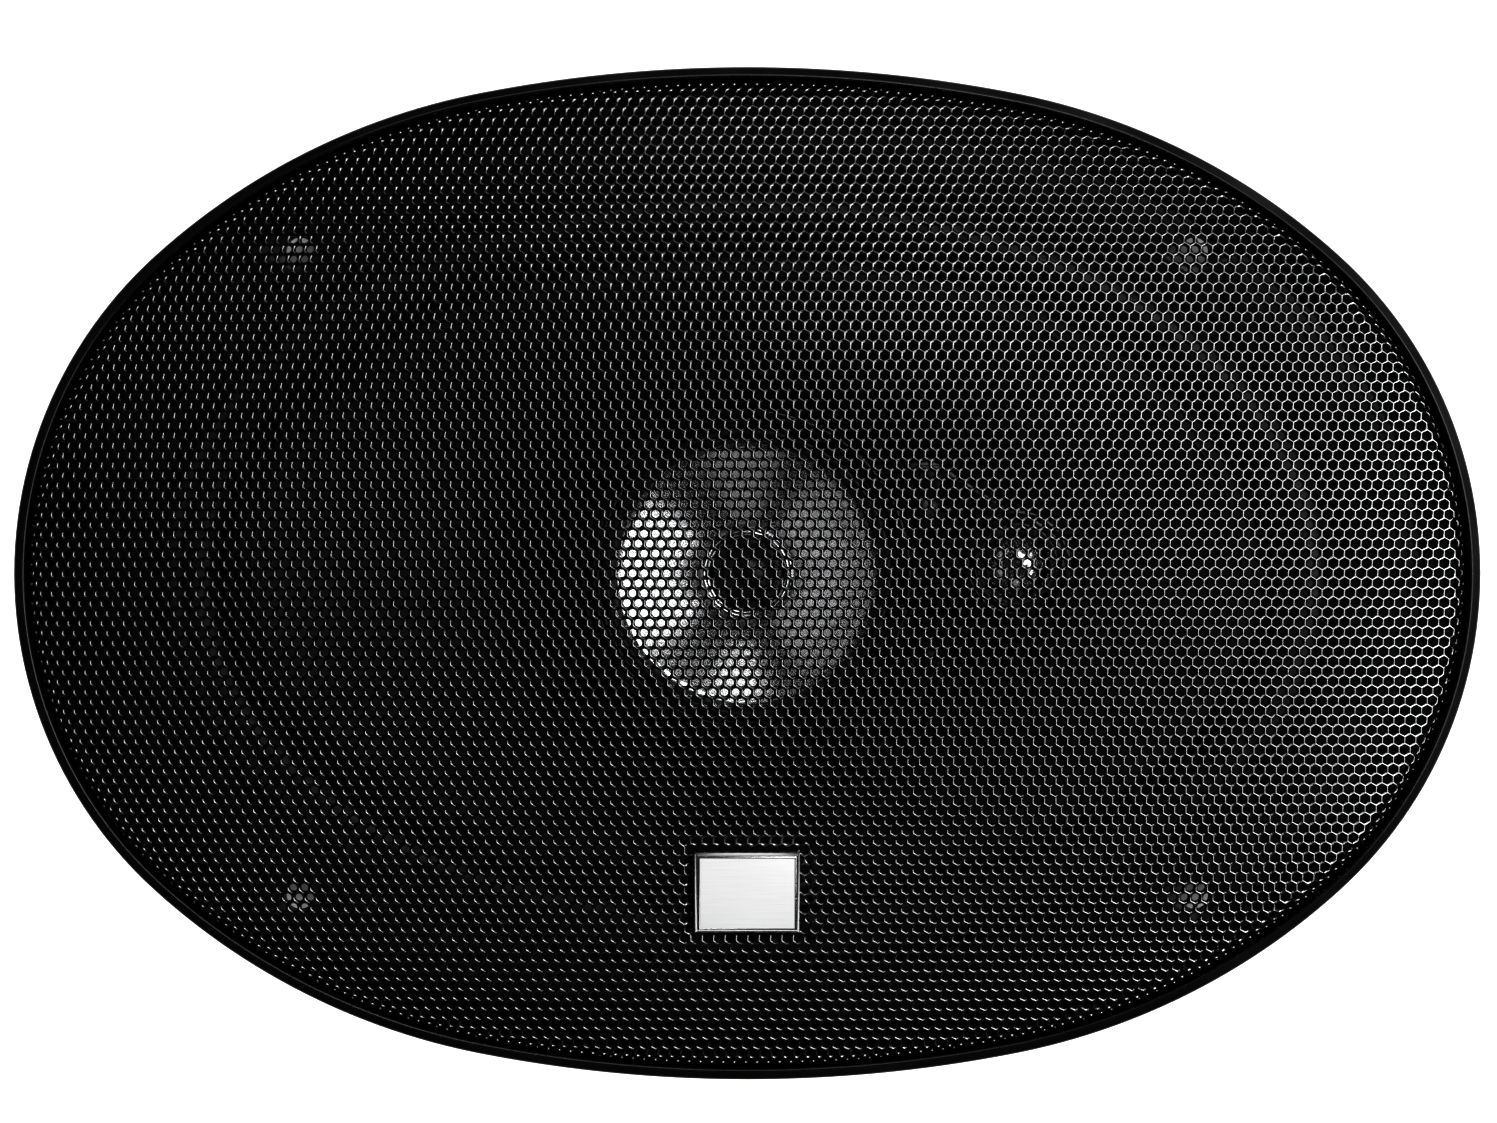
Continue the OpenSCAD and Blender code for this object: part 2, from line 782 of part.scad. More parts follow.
module mid_pole_plate() {
    low = pod_floor + pod_floor_t + mid_cup_floor_t + mid_magnet_t;
    color([0.6, 0.61, 0.62]) rod(mid_pole_r - glue, low, low + mid_pole_t);
}

// ---- Tweeter ---------------------------------------------------------------------------------

module at_tweeter() {
    translate([tweeter_x, tweeter_y, 0]) children();
}

// Small pod on a bridge that two screws hold to the lugs of the big one
module tweeter_housing() {
    color([0.1, 0.1, 0.1])
    difference() {
        union() {
            at_tweeter() rod(tweeter_r, tweeter_floor, tweeter_top);
            translate([0, 0, bridge_z])
                linear_extrude(bridge_t)
                    polygon([[pod_r - 8, pod_screw_y + 3], [pod_screw_x + 2, pod_screw_y + 3],
                             [tweeter_x + 2, tweeter_y + tweeter_r - 2],
                             [tweeter_x + 2, tweeter_y - tweeter_r + 2],
                             [pod_screw_x + 2, -pod_screw_y - 3], [pod_r - 8, -pod_screw_y - 3]]);
        }
        rod(pod_r, tweeter_floor - through, tweeter_top + through);
        at_tweeter() rod(tweeter_r - tweeter_wall, tweeter_floor + tweeter_wall, tweeter_top + through);
        at_pod_screws() rod(pod_screw_r + glue, bridge_z - through, bridge_z + bridge_t + through);
    }
}

module tweeter_motor() {
    color([0.6, 0.61, 0.62])
    at_tweeter()
        difference() {
            rod(tweeter_r - tweeter_wall - glue, tweeter_floor + tweeter_wall, tweeter_motor_top);
            tube(tweeter_coil_r + tweeter_coil_t / 2 + run, tweeter_coil_r - tweeter_coil_t / 2 - run,
                 tweeter_motor_top - tweeter_groove, tweeter_motor_top + through);
        }
}

module tweeter_ring() {
    color([0.1, 0.1, 0.1])
    at_tweeter()
        rotate_extrude()
            polygon([[tweeter_dome_r + 1, tweeter_motor_top],
                     [tweeter_r - tweeter_wall - glue, tweeter_motor_top],
                     [tweeter_r - tweeter_wall - glue, tweeter_top], [tweeter_dome_r + 1.4, tweeter_top],
                     [tweeter_dome_r + 1, tweeter_top - 0.6]]);
}

module tweeter_dome() {
    color([0.85, 0.85, 0.86])
    at_tweeter() {
        tube(tweeter_dome_r + 0.6, tweeter_coil_r - tweeter_coil_t / 2, tweeter_lip_z,
             tweeter_lip_z + tweeter_lip_t);
        translate([0, 0, tweeter_lip_z + tweeter_lip_t]) cap(tweeter_dome_r, tweeter_dome_h, 0.3);
    }
}

module tweeter_coil() {
    color([0.72, 0.4, 0.2])
    at_tweeter()
        tube(tweeter_coil_r + tweeter_coil_t / 2, tweeter_coil_r - tweeter_coil_t / 2,
             tweeter_motor_top - tweeter_groove + 0.6, tweeter_lip_z);
}

module pod_screws() {
    color([0.75, 0.75, 0.76])
    at_pod_screws() headed(pod_screw_r, lug_low + 0.5, bridge_z + bridge_t, 1.9 * pod_screw_r, 1.3);
}

// ---- Grille ----------------------------------------------------------------------------------

module grille_frame() {
    bead = skirt_w / 2;
    color([0.1, 0.1, 0.1]) {
        oval_loft(outer, concat(
            [[0, 0]],
            [for (a = [0:bead_step:180]) [-bead + bead * cos(a), skirt_top + bead * sin(a)]],
            [[-skirt_w, ledge_z], [-ledge_w, ledge_z], [-ledge_w, sheet_t],
             [-skirt_w, sheet_t], [-skirt_w, 0]]));
        at_pegs() rod(peg_r, peg_tip, sheet_t + ledge_t / 2);
    }
}

// Rings of the mesh's skin, in at the bottom edge, over the shoulder and up the dome. inset is how
// far the skin lies inside the sheet's outer face.
function mesh_rings(inset) =
    let (r = shoulder_r - inset, rim = -mesh_inset - shoulder_r)
    concat(
        [oval_ring(outer, -mesh_inset - inset, ledge_z)],
        [for (a = shoulder_turns) oval_ring(outer, rim + r * cos(a), shoulder_z + r * sin(a))],
        [for (s = dome_shares) [for (p = oval_ring(outer, rim, 0)) [s * p.x, s * p.y, dome_z(s) - inset]]]);

dome_base = shoulder_z + shoulder_r;
function dome_z(s) = dome_base + (grille_height - dome_base) * (1 - s * s);

module grille_mesh() {
    color([0.09, 0.09, 0.1])
    dome_sheet(mesh_rings(0), [0, 0, grille_height], mesh_rings(mesh_t), [0, 0, grille_height - mesh_t]);
}

// The badge's own frame: its back touches the dome's slope and its face looks along its +Z
module at_badge() {
    half = overall_width / 2 - mesh_inset - shoulder_r;
    s = abs(badge_y) / half;
    slope = atan(2 * (grille_height - dome_base) * s / half);
    translate([0, badge_y, dome_z(s) + 0.6]) rotate([slope, 0, 0]) children();
}

// Straight-sided block that narrows from the first size to the second
module bevelled(w, h, t, bevel) {
    hull() {
        box(-w / 2, w / 2, -h / 2, h / 2, 0, t - bevel);
        box(-w / 2 + bevel, w / 2 - bevel, -h / 2 + bevel, h / 2 - bevel, 0, t);
    }
}

module badge_bezel() {
    color([0.8, 0.8, 0.82])
    at_badge()
        difference() {
            bevelled(badge_w, badge_h, badge_t, badge_bevel);
            box(-badge_w / 2 + badge_bevel + 0.2, badge_w / 2 - badge_bevel - 0.2,
                -badge_h / 2 + badge_bevel + 0.2, badge_h / 2 - badge_bevel - 0.2,
                badge_t - face_t, badge_t + through);
        }
}

module badge_face() {
    color([0.75, 0.75, 0.77])
    at_badge()
        box(-badge_w / 2 + badge_bevel + 0.25, badge_w / 2 - badge_bevel - 0.25,
            -badge_h / 2 + badge_bevel + 0.25, badge_h / 2 - badge_bevel - 0.25,
            badge_t - face_t, badge_t);
}

module badge_studs() {
    color([0.7, 0.7, 0.72])
    at_badge()
        for (s = [-1, 1]) translate([s * stud_x, 0, 0]) rod(stud_r, -stud_len, 0);
}

basket_flange();
basket_arms();
basket_cup();
front_gasket();
surround();
spider();
woofer_cone();
coil_former();
coil_winding();
dust_shield();
top_plate();
magnet_ring();
back_yoke();
frame_rivets();
pod_post();
post_screw();
terminal_bracket();
terminal_board();
positive_blade();
negative_blade();
terminal_rivets();
board_rivets();
crossover_capacitors();
tinsel_leads();
mid_housing();
mid_trim_ring();
mid_surround();
mid_cone();
mid_dome();
mid_dome_ring();
mid_coil();
mid_magnet_cup();
mid_magnet();
mid_pole_plate();
tweeter_housing();
tweeter_motor();
tweeter_ring();
tweeter_dome();
tweeter_coil();
pod_screws();
grille_frame();
grille_mesh();
badge_bezel();
badge_face();
badge_studs();
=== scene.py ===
# %% [markdown]
# # A coaxial car speaker under its grille
#
# This lesson dresses a finished CAD model. The CAD file settles every size and everything that
# moves; Blender adds smooth surfaces, a real perforated sheet and the finish of each material.
# The first thing to do is to load the model and to note the box that it fills, because nothing
# made here may stick out of it.

# %% Load the frame
import math
from collections import namedtuple

import bmesh
import bpy
import numpy as np
from mathutils import Matrix, Vector


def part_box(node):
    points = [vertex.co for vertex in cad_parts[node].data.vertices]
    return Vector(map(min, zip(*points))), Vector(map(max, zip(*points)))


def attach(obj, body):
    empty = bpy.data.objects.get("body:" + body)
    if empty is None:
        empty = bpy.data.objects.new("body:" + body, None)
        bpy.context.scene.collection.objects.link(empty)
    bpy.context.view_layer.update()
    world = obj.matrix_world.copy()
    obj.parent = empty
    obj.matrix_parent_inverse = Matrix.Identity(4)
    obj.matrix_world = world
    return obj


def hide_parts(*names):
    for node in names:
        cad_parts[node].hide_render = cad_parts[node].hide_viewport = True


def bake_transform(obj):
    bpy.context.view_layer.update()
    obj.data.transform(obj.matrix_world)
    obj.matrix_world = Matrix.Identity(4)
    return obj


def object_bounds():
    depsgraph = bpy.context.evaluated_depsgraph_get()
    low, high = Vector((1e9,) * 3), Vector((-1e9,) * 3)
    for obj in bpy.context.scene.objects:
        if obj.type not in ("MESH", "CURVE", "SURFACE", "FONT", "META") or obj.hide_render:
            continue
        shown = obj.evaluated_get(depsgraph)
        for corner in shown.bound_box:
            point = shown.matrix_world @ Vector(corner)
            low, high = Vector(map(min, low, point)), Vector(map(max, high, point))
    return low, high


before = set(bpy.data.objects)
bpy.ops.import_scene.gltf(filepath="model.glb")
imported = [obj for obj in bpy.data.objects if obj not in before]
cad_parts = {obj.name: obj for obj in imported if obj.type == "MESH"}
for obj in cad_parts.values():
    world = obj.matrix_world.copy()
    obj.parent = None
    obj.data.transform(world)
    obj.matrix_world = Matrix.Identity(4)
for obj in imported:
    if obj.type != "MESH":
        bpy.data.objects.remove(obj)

MM = 0.001  # the lesson counts in millimetres, and Blender in metres
cad_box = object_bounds()


def box(node):
    """Lowest and highest corner of a CAD node, in millimetres."""
    low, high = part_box(node)
    return low / MM, high / MM


print("CAD box, mm:", [round((high - low) / MM, 1) for low, high in zip(*cad_box)])

# %% [markdown]
# ## The camera
#
# The camera hangs a metre above the grille and looks straight down on it, like the camera of a
# copy stand. From so far away a long lens keeps the oval free of distortion. The width of the
# view is chosen first, and the focal length follows from it.

# %% Hang the camera
CAMERA_RISE = 1000.0
VIEW_WIDTH = 248.8
CAMERA_X, CAMERA_Y = 0.21, 1.95

rim_high = box("grille_frame")[1]
lens = bpy.data.cameras.new("copy_stand")
lens.sensor_width = 36.0
lens.lens = lens.sensor_width * CAMERA_RISE / VIEW_WIDTH
lens.clip_start, lens.clip_end = 0.05, 20.0
camera = bpy.data.objects.new("copy_stand", lens)
camera.location = Vector((CAMERA_X, CAMERA_Y, rim_high.z + CAMERA_RISE)) * MM
bpy.context.scene.collection.objects.link(camera)
bpy.context.scene.camera = camera
print("lens, mm:", round(lens.lens, 1))

# %% [markdown]
# ## Floor and light
#
# Black lacquer shows its lamps far more than its own colour, so the lamps are part of the
# drawing. The small mirror cone shows each softbox as a bright sector: the key lamps on the
# right, and fills on the far side, on the left and on the near side, with dark gaps between them.
#
# Light linking keeps each lamp to its own job. One lamp draws the thin bright lines on the ridges
# of the sheet and lights nothing else, one only lights the badge's frame, and four low ones stand
# round the parts under the flange. The sky is nearly dark, which keeps the blacks black. The
# floor has to be white all round, so it has lamps of its own: a sun straight overhead, and a weak
# glow that keeps its shadow from going quite black.

# %% Lay the floor and set the lamps
FLOOR_SIZE = 6.0
SUN_STRENGTH, SUN_WIDTH = 6.0, math.radians(11)
GLOW_SIZE, GLOW_POWER = 4.0, 4.0
SKY, BACKDROP = 0.02, 0.9
REACH = 1.6  # metres from the speaker to each lamp
CONTRAST = 0.68
FILLS = ("fill_left_140", "fill_left_178", "fill_left_216", "fill_near")
SIDES = ("side_0", "side_90", "side_180", "side_270")

floor_mesh = bpy.data.meshes.new("floor")
bench = bmesh.new()
bmesh.ops.create_grid(bench, x_segments=2, y_segments=2, size=FLOOR_SIZE / 2)
bench.to_mesh(floor_mesh)
bench.free()
floor = bpy.data.objects.new("floor", floor_mesh)
floor.location.z = cad_box[0].z
bpy.context.scene.collection.objects.link(floor)


def hang(name, lamp, lean, bearing, linked):
    """Lamp at this bearing, lean degrees from overhead. The floor is INCLUDEd or EXCLUDEd."""
    tilt, turn = math.radians(lean), math.radians(bearing)
    way = Vector((math.sin(tilt) * math.cos(turn), math.sin(tilt) * math.sin(turn), math.cos(tilt)))
    stand = bpy.data.objects.new(name, lamp)
    stand.location = way * REACH
    stand.rotation_mode = "QUATERNION"
    stand.rotation_quaternion = way.to_track_quat("Z", "Y")
    bpy.context.scene.collection.objects.link(stand)
    lit = bpy.data.collections.new(name)
    lit.objects.link(floor)
    lit.collection_objects[0].light_linking.link_state = linked
    stand.light_linking.receiver_collection = lit


def link_lamps(names, piece, state):
    """INCLUDE a piece among the few that these lamps light, or EXCLUDE it from what they light."""
    for name in names:
        bpy.data.collections[name].objects.link(piece)
        bpy.data.collections[name].collection_objects[-1].light_linking.link_state = state


def softbox(name, lean, bearing, width, height, radiance):
    """Area lamp of this radiance, for all but the floor."""
    lamp = bpy.data.lights.new(name, "AREA")
    lamp.shape, lamp.size, lamp.size_y = "RECTANGLE", width, height
    lamp.energy = radiance * 4 * width * height
    hang(name, lamp, lean, bearing, "EXCLUDE")


softbox("key_low", 38.5, 1, 1.5, 0.36, 7.0)
softbox("key_high", 25, 22, 0.5, 0.4, 7.0)
softbox("key_round", 25, 62, 0.5, 0.34, 10.0)
softbox("fill_far", 38, 85, 0.40, 0.24, 6.5)
for name, bearing in zip(FILLS, (140, 178, 216)):
    softbox(name, 49, bearing, 0.83, 0.6, 2.1)
softbox("fill_near", 46, 273, 0.6, 0.7, 1.1)
softbox("mesh_key", 38.5, -5, 1.6, 0.42, 19.0)
softbox("badge_kick", 62, 90, 0.6, 0.5, 0.85)
for name, bearing in zip(SIDES, (0, 90, 180, 270)):
    softbox(name, 80, bearing, 1.5, 0.8, 1.9)

glow = bpy.data.lights.new("floor_glow", "AREA")
glow.shape, glow.size, glow.energy = "DISK", GLOW_SIZE, GLOW_POWER
glow.use_shadow = False
hang("floor_glow", glow, 0, 0, "INCLUDE")
sun = bpy.data.lights.new("floor_sun", "SUN")
sun.energy, sun.angle = SUN_STRENGTH, SUN_WIDTH
hang("floor_sun", sun, 0, 0, "INCLUDE")

world = bpy.data.worlds.new("studio")
world.use_nodes = True
sky = world.node_tree.nodes["Background"]
sky.inputs["Color"].default_value = (0.95, 0.97, 1.0, 1.0)
path = world.node_tree.nodes.new("ShaderNodeLightPath")
choice = world.node_tree.nodes.new("ShaderNodeMapRange")
choice.inputs["To Min"].default_value, choice.inputs["To Max"].default_value = SKY, BACKDROP
world.node_tree.links.new(path.outputs["Is Camera Ray"], choice.inputs["Value"])
world.node_tree.links.new(choice.outputs["Result"], sky.inputs["Strength"])
bpy.context.scene.world = world
bpy.context.scene.view_settings.view_transform = "Standard"
bpy.context.scene.view_settings.gamma = CONTRAST

# %% [markdown]
# ## How a finish is built
#
# Every finish below is one Principled BSDF fed by a few textures, and they all start in the same
# way: take the object's own coordinates, run them through a noise, and let that noise choose
# between two colours, move the roughness a little and lift the surface by some hundredths of a
# millimetre. The helpers here do only that wiring, so each finish can be read in a few lines.

# %% Helpers for node trees
def new_finish(name):
    """A material, its node tree and its Principled BSDF."""
    finish = bpy.data.materials.new(name)
    finish.use_nodes = True
    return finish, finish.node_tree, finish.node_tree.nodes["Principled BSDF"]


def add(tree, kind, sockets=None, **settings):
    """New node of this kind. A value in sockets is set or, if it is an output, plugged in."""
    made = tree.nodes.new("ShaderNode" + kind)
    for key, value in settings.items():
        setattr(made, key, value)
    for key, value in (sockets or {}).items():
        if isinstance(value, bpy.types.NodeSocket):
            tree.links.new(value, made.inputs[key])
        else:
            made.inputs[key].default_value = value
    return made


def place(tree, stretch=(1, 1, 1), centre=(0, 0, 0), turn=0.0):
    """Object coordinates counted from centre, turned round Z and stretched."""
    where = add(tree, "TexCoord").outputs["Object"]
    shift = tuple(-c * MM for c in centre)
    moved = add(tree, "Mapping", {"Vector": where, "Location": shift}).outputs["Vector"]
    spread = {"Vector": moved, "Scale": stretch, "Rotation": (0, 0, turn)}
    return add(tree, "Mapping", spread).outputs["Vector"]


def grain(tree, size, where=None, detail=3.0, rough=0.5):
    """Noise whose lumps are about size millimetres wide."""
    where = where or place(tree)
    sockets = {"Vector": where, "Scale": 1 / (size * MM), "Detail": detail, "Roughness": rough}
    return add(tree, "TexNoise", sockets).outputs["Fac"]


def between(tree, factor, low, high, start=0.3, end=0.7):
    """A number that goes from low to high as factor goes from start to end."""
    sockets = {"Value": factor, "From Min": start, "From Max": end, "To Min": low, "To Max": high}
    return add(tree, "MapRange", sockets).outputs["Result"]


def two_tone(tree, factor, dark, light):
    """A colour that goes from dark to light with factor."""
    mix = add(tree, "Mix", data_type="RGBA")
    tree.links.new(factor, mix.inputs["Factor"])
    mix.inputs["A"].default_value = (*dark, 1)
    mix.inputs["B"].default_value = (*light, 1)
    return mix.outputs["Result"]


def relief(tree, shader, height, depth):
    """Lift the surface by depth millimetres where height is 1."""
    bump = add(tree, "Bump", {"Height": height, "Distance": depth * MM, "Strength": 1.0})
    if shader.inputs["Normal"].is_linked:
        tree.links.new(shader.inputs["Normal"].links[0].from_socket, bump.inputs["Normal"])
    tree.links.new(bump.outputs["Normal"], shader.inputs["Normal"])


def combine(tree, first, second, how="MULTIPLY"):
    """Two numbers put together."""
    return add(tree, "Math", {0: first, 1: second}, operation=how).outputs["Value"]


def waves(tree, width, wobble, turn=0.0):
    """Sockets of a wave texture whose waves are about width millimetres wide."""
    return {"Vector": place(tree, turn=turn), "Scale": 1 / (width * MM) / 3.2, "Distortion": wobble}


# %% [markdown]
# ## Plain finishes: paint, plastic, rubber, ferrite and plate
#
# Most of these surfaces differ only in colour, gloss and the size of their grain, so one function
# makes them all. A broad noise gives the slow change in tone that handling leaves, and a fine
# one gives the grain itself. The alternative, a flat colour, looks like a drawing of plastic.

# %% Plain finishes
def plain(name, dark, light, gloss, lump, depth, metal=0.0, stretch=(1, 1, 1), sheen=0.0,
          coat=0.0):
    """Finish between two colours. Roughness runs over gloss; lump and depth size the grain."""
    finish, tree, shader = new_finish(name)
    fine = grain(tree, lump, place(tree, stretch))
    broad = grain(tree, 14.0, detail=2.0)
    tone = between(tree, combine(tree, fine, broad, "ADD"), 0.0, 1.0, 0.7, 1.3)
    tree.links.new(two_tone(tree, tone, dark, light), shader.inputs["Base Color"])
    tree.links.new(between(tree, broad, *gloss), shader.inputs["Roughness"])
    shader.inputs["Metallic"].default_value = metal
    shader.inputs["Sheen Weight"].default_value = sheen
    shader.inputs["Coat Weight"].default_value = coat
    relief(tree, shader, fine, depth)
    return finish


black_paint = plain("black_paint", (0.004, 0.004, 0.004), (0.009, 0.009, 0.010), (0.24, 0.34),
                    0.7, 0.012)
satin_plastic = plain("satin_plastic", (0.003, 0.003, 0.003), (0.006, 0.006, 0.007), (0.16, 0.23),
                      0.5, 0.004)
# A lighter copy of the black paint for the basket's arms and cup and the terminal bracket, which
# stand in dim light under the flange: painted light.
painted_light_black_paint = plain("painted_light_black_paint", (0.016, 0.016, 0.017), (0.026, 0.026, 0.027), (0.28, 0.42),
                    0.7, 0.012)
ferrite = plain("ferrite", (0.030, 0.030, 0.033), (0.060, 0.060, 0.064), (0.55, 0.72), 0.5, 0.02)
foam = plain("foam", (0.007, 0.007, 0.007), (0.014, 0.014, 0.014), (0.85, 0.95),
             0.6, 0.08, sheen=0.04)
rubber = plain("rubber", (0.003, 0.003, 0.003), (0.007, 0.007, 0.008), (0.30, 0.42), 0.9, 0.01)
pulp = plain("pulp", (0.004, 0.004, 0.004), (0.012, 0.012, 0.011), (0.50, 0.66),
             0.45, 0.04, stretch=(1, 3, 1))
phenolic = plain("phenolic", (0.10, 0.045, 0.018), (0.19, 0.10, 0.045), (0.40, 0.55),
                 0.6, 0.01, stretch=(1, 1, 6))
tinned = plain("tinned", (0.62, 0.58, 0.46), (0.83, 0.80, 0.70), (0.22, 0.40),
               0.8, 0.004, metal=1.0)
polyimide = plain("polyimide", (0.34, 0.14, 0.02), (0.46, 0.22, 0.05), (0.25, 0.35),
                  2.0, 0.002, coat=0.4)
dark_film = plain("dark_film", (0.012, 0.012, 0.013), (0.022, 0.022, 0.024), (0.20, 0.30),
                  1.5, 0.004)
bright_plastic = plain("bright_plastic", (0.72, 0.73, 0.74), (0.88, 0.88, 0.89), (0.09, 0.14),
                       1.5, 0.001, metal=1.0)
black_zinc = plain("black_zinc", (0.010, 0.010, 0.011), (0.022, 0.022, 0.024), (0.24, 0.38),
                   0.6, 0.004, metal=0.6)
print("plain finishes:", len(bpy.data.materials))

# %% [markdown]
# ## Zinc plate with turning marks
#
# The motor's plates and its yoke are turned on a lathe and then plated. The cutter leaves fine
# rings round the axis. A wave texture in its Rings mode draws exactly that round the Z axis, and
# it goes into the relief only. The cloudy tone of the plating comes from two noises.

# %% Plated steel
GROOVE = 0.35

zinc, tree, shader = new_finish("zinc")
cloud = grain(tree, 5.0, detail=5.0)
tree.links.new(two_tone(tree, between(tree, cloud, 0, 1), (0.34, 0.35, 0.37), (0.44, 0.45, 0.47)),
               shader.inputs["Base Color"])
tree.links.new(between(tree, grain(tree, 2.0), 0.24, 0.42), shader.inputs["Roughness"])
shader.inputs["Metallic"].default_value = 1.0
shader.inputs["Anisotropic"].default_value = 0.4
rings = add(tree, "TexWave", waves(tree, GROOVE, 0.6), wave_type="RINGS", rings_direction="Z")
relief(tree, shader, rings.outputs["Fac"], 0.006)
print("finish:", zinc.name)

# %% [markdown]
# ## Woven cloth
#
# The spider is pressed from flat cotton cloth stiffened with resin, and the dust shield from a
# thin black cloth. Because the cloth was flat before it was pressed, its threads still run
# straight along X and Y. So two crossed band waves over the object's coordinates are the true
# pattern, and no unwrapping is needed.

# %% Cloth
def woven(name, dark, light, thread, roughness, depth):
    """Cloth whose threads are thread millimetres apart."""
    finish, tree, shader = new_finish(name)
    sockets = waves(tree, thread, 0.4, turn=math.radians(8)) | {"Detail": 1.0}
    bands = [add(tree, "TexWave", sockets, bands_direction=axis).outputs["Fac"] for axis in "XY"]
    weave = combine(tree, *bands, "MAXIMUM")
    tone = combine(tree, weave, grain(tree, 3.0))
    colour = two_tone(tree, between(tree, tone, 0, 1, 0.1, 0.6), dark, light)
    tree.links.new(colour, shader.inputs["Base Color"])
    shader.inputs["Roughness"].default_value = roughness
    shader.inputs["Sheen Weight"].default_value = 0.2
    relief(tree, shader, weave, depth)
    return finish


spider_cloth = woven("spider_cloth", (0.26, 0.15, 0.045), (0.56, 0.38, 0.15), 0.8, 0.7, 0.06)
shield_cloth = woven("shield_cloth", (0.008, 0.008, 0.008), (0.030, 0.030, 0.030), 0.5, 0.85, 0.04)

# %% [markdown]
# ## Wire
#
# A coil is one wire wound turn beside turn, and a lead is a braid of fine strands. Both are seen
# only as lines across the piece, so a band wave along its length stands for the turns.

# %% Enamelled and braided copper
def wound(name, dark, light, pitch, direction):
    """Copper whose turns or strands are pitch millimetres apart."""
    finish, tree, shader = new_finish(name)
    wave = add(tree, "TexWave", waves(tree, pitch, 0.15), bands_direction=direction).outputs["Fac"]
    tree.links.new(two_tone(tree, wave, dark, light), shader.inputs["Base Color"])
    tree.links.new(between(tree, grain(tree, 1.0), 0.3, 0.45), shader.inputs["Roughness"])
    shader.inputs["Metallic"].default_value = 1.0
    relief(tree, shader, wave, pitch / 4)
    return finish


enamel_wire = wound("enamel_wire", (0.28, 0.08, 0.02), (0.66, 0.24, 0.08), 0.28, "Z")
braid = wound("braid", (0.34, 0.17, 0.08), (0.80, 0.48, 0.26), 0.5, "DIAGONAL")

# %% [markdown]
# ## Mirror film
#
# The mid-range cone is a plastic film with a layer of aluminium on it. It is nearly a mirror, but
# the film was formed warm, so its surface rolls very gently. A little noise in the relief bends
# the reflections of the lamps as the real film does; a perfect mirror would look like glass.

# %% Mirror film
mirror_film, tree, shader = new_finish("mirror_film")
haze = grain(tree, 1.2, detail=4.0)
tree.links.new(two_tone(tree, between(tree, haze, 0, 1), (0.82, 0.83, 0.84), (0.92, 0.92, 0.93)),
               shader.inputs["Base Color"])
tree.links.new(between(tree, haze, 0.18, 0.22), shader.inputs["Roughness"])
shader.inputs["Metallic"].default_value = 1.0
relief(tree, shader, grain(tree, 5.0, detail=1.0), 0.008)

# %% [markdown]
# ## Brushed aluminium
#
# The badge is brushed along X. A noise that is stretched sixty times along X gives the scratches,
# which change the roughness more than the colour, as on real brushed metal. The frame is bare
# metal; the plate in it has a satin lacquer over pale paint, so it stays light from every side.

# %% Brushed aluminium
def scratched(name, dark, light, gloss, depth):
    """Finish with fine scratches along X, and its Principled BSDF."""
    finish, tree, shader = new_finish(name)
    scratch = grain(tree, 0.12, place(tree, (0.016, 1, 1)), detail=4.0, rough=0.7)
    tree.links.new(two_tone(tree, between(tree, scratch, 0, 1), dark, light),
                   shader.inputs["Base Color"])
    tree.links.new(between(tree, scratch, *gloss), shader.inputs["Roughness"])
    relief(tree, shader, scratch, depth)
    return finish, shader


brushed, shader = scratched("brushed", (0.70, 0.70, 0.71), (0.86, 0.86, 0.87), (0.14, 0.22), 0.002)
shader.inputs["Metallic"].default_value = 1.0
shader.inputs["Anisotropic"].default_value = 0.5
satin_plate, _ = scratched("satin_plate", (0.69, 0.69, 0.69), (0.77, 0.77, 0.77), (0.30, 0.42),
                           0.001)

# %% [markdown]
# ## Lacquered sheet
#
# The perforated sheet is coated in gloss black. The sheet's mesh will carry a number, 1 on each
# crest and 0 in each hole, and the finish reads it to make the crests a little less black: a faint
# painted highlight along the ridges, speckled by a fine noise.

# %% Lacquered sheet
lacquer, tree, shader = new_finish("lacquer")
ridge_highlight = add(tree, "Attribute", attribute_name="ridge_highlight").outputs["Fac"]
speck = grain(tree, 0.9)
# Painted highlight: the base colour is lighter on the crests of the ridges.
crest = combine(tree, between(tree, ridge_highlight, 0, 1, 0.75, 1.0), between(tree, speck, 0.6, 1.0))
tree.links.new(two_tone(tree, crest, (0.0012, 0.0012, 0.0012), (0.004, 0.004, 0.004)),
               shader.inputs["Base Color"])
tree.links.new(between(tree, speck, 0.08, 0.13), shader.inputs["Roughness"])
shader.inputs["IOR"].default_value = 1.8
relief(tree, shader, grain(tree, 0.5), 0.003)

# %% [markdown]
# ## Shrink sleeve
#
# The capacitors wear a dark blue sleeve that shrank round them. It is glossy and creased along
# its length, so the noise is drawn out along Z.

# %% Shrink sleeve
sleeve, tree, shader = new_finish("sleeve")
crease = grain(tree, 1.0, place(tree, (1, 1, 0.25)), detail=2.0)
tree.links.new(two_tone(tree, crease, (0.006, 0.012, 0.045), (0.012, 0.028, 0.10)),
               shader.inputs["Base Color"])
tree.links.new(between(tree, crease, 0.18, 0.35), shader.inputs["Roughness"])
relief(tree, shader, crease, 0.06)

# %% [markdown]
# ## The floor's finish
#
# A plain pale board. It only has to be even and nearly white, with a faint tooth.

# %% Floor finish
board, tree, shader = new_finish("board")
tooth = grain(tree, 3.0)
tree.links.new(two_tone(tree, tooth, (0.86, 0.86, 0.86), (0.92, 0.92, 0.92)),
               shader.inputs["Base Color"])
shader.inputs["Roughness"].default_value = 0.9
floor_mesh.materials.append(board)
print("finishes:", sorted(m.name for m in bpy.data.materials if m.use_nodes))
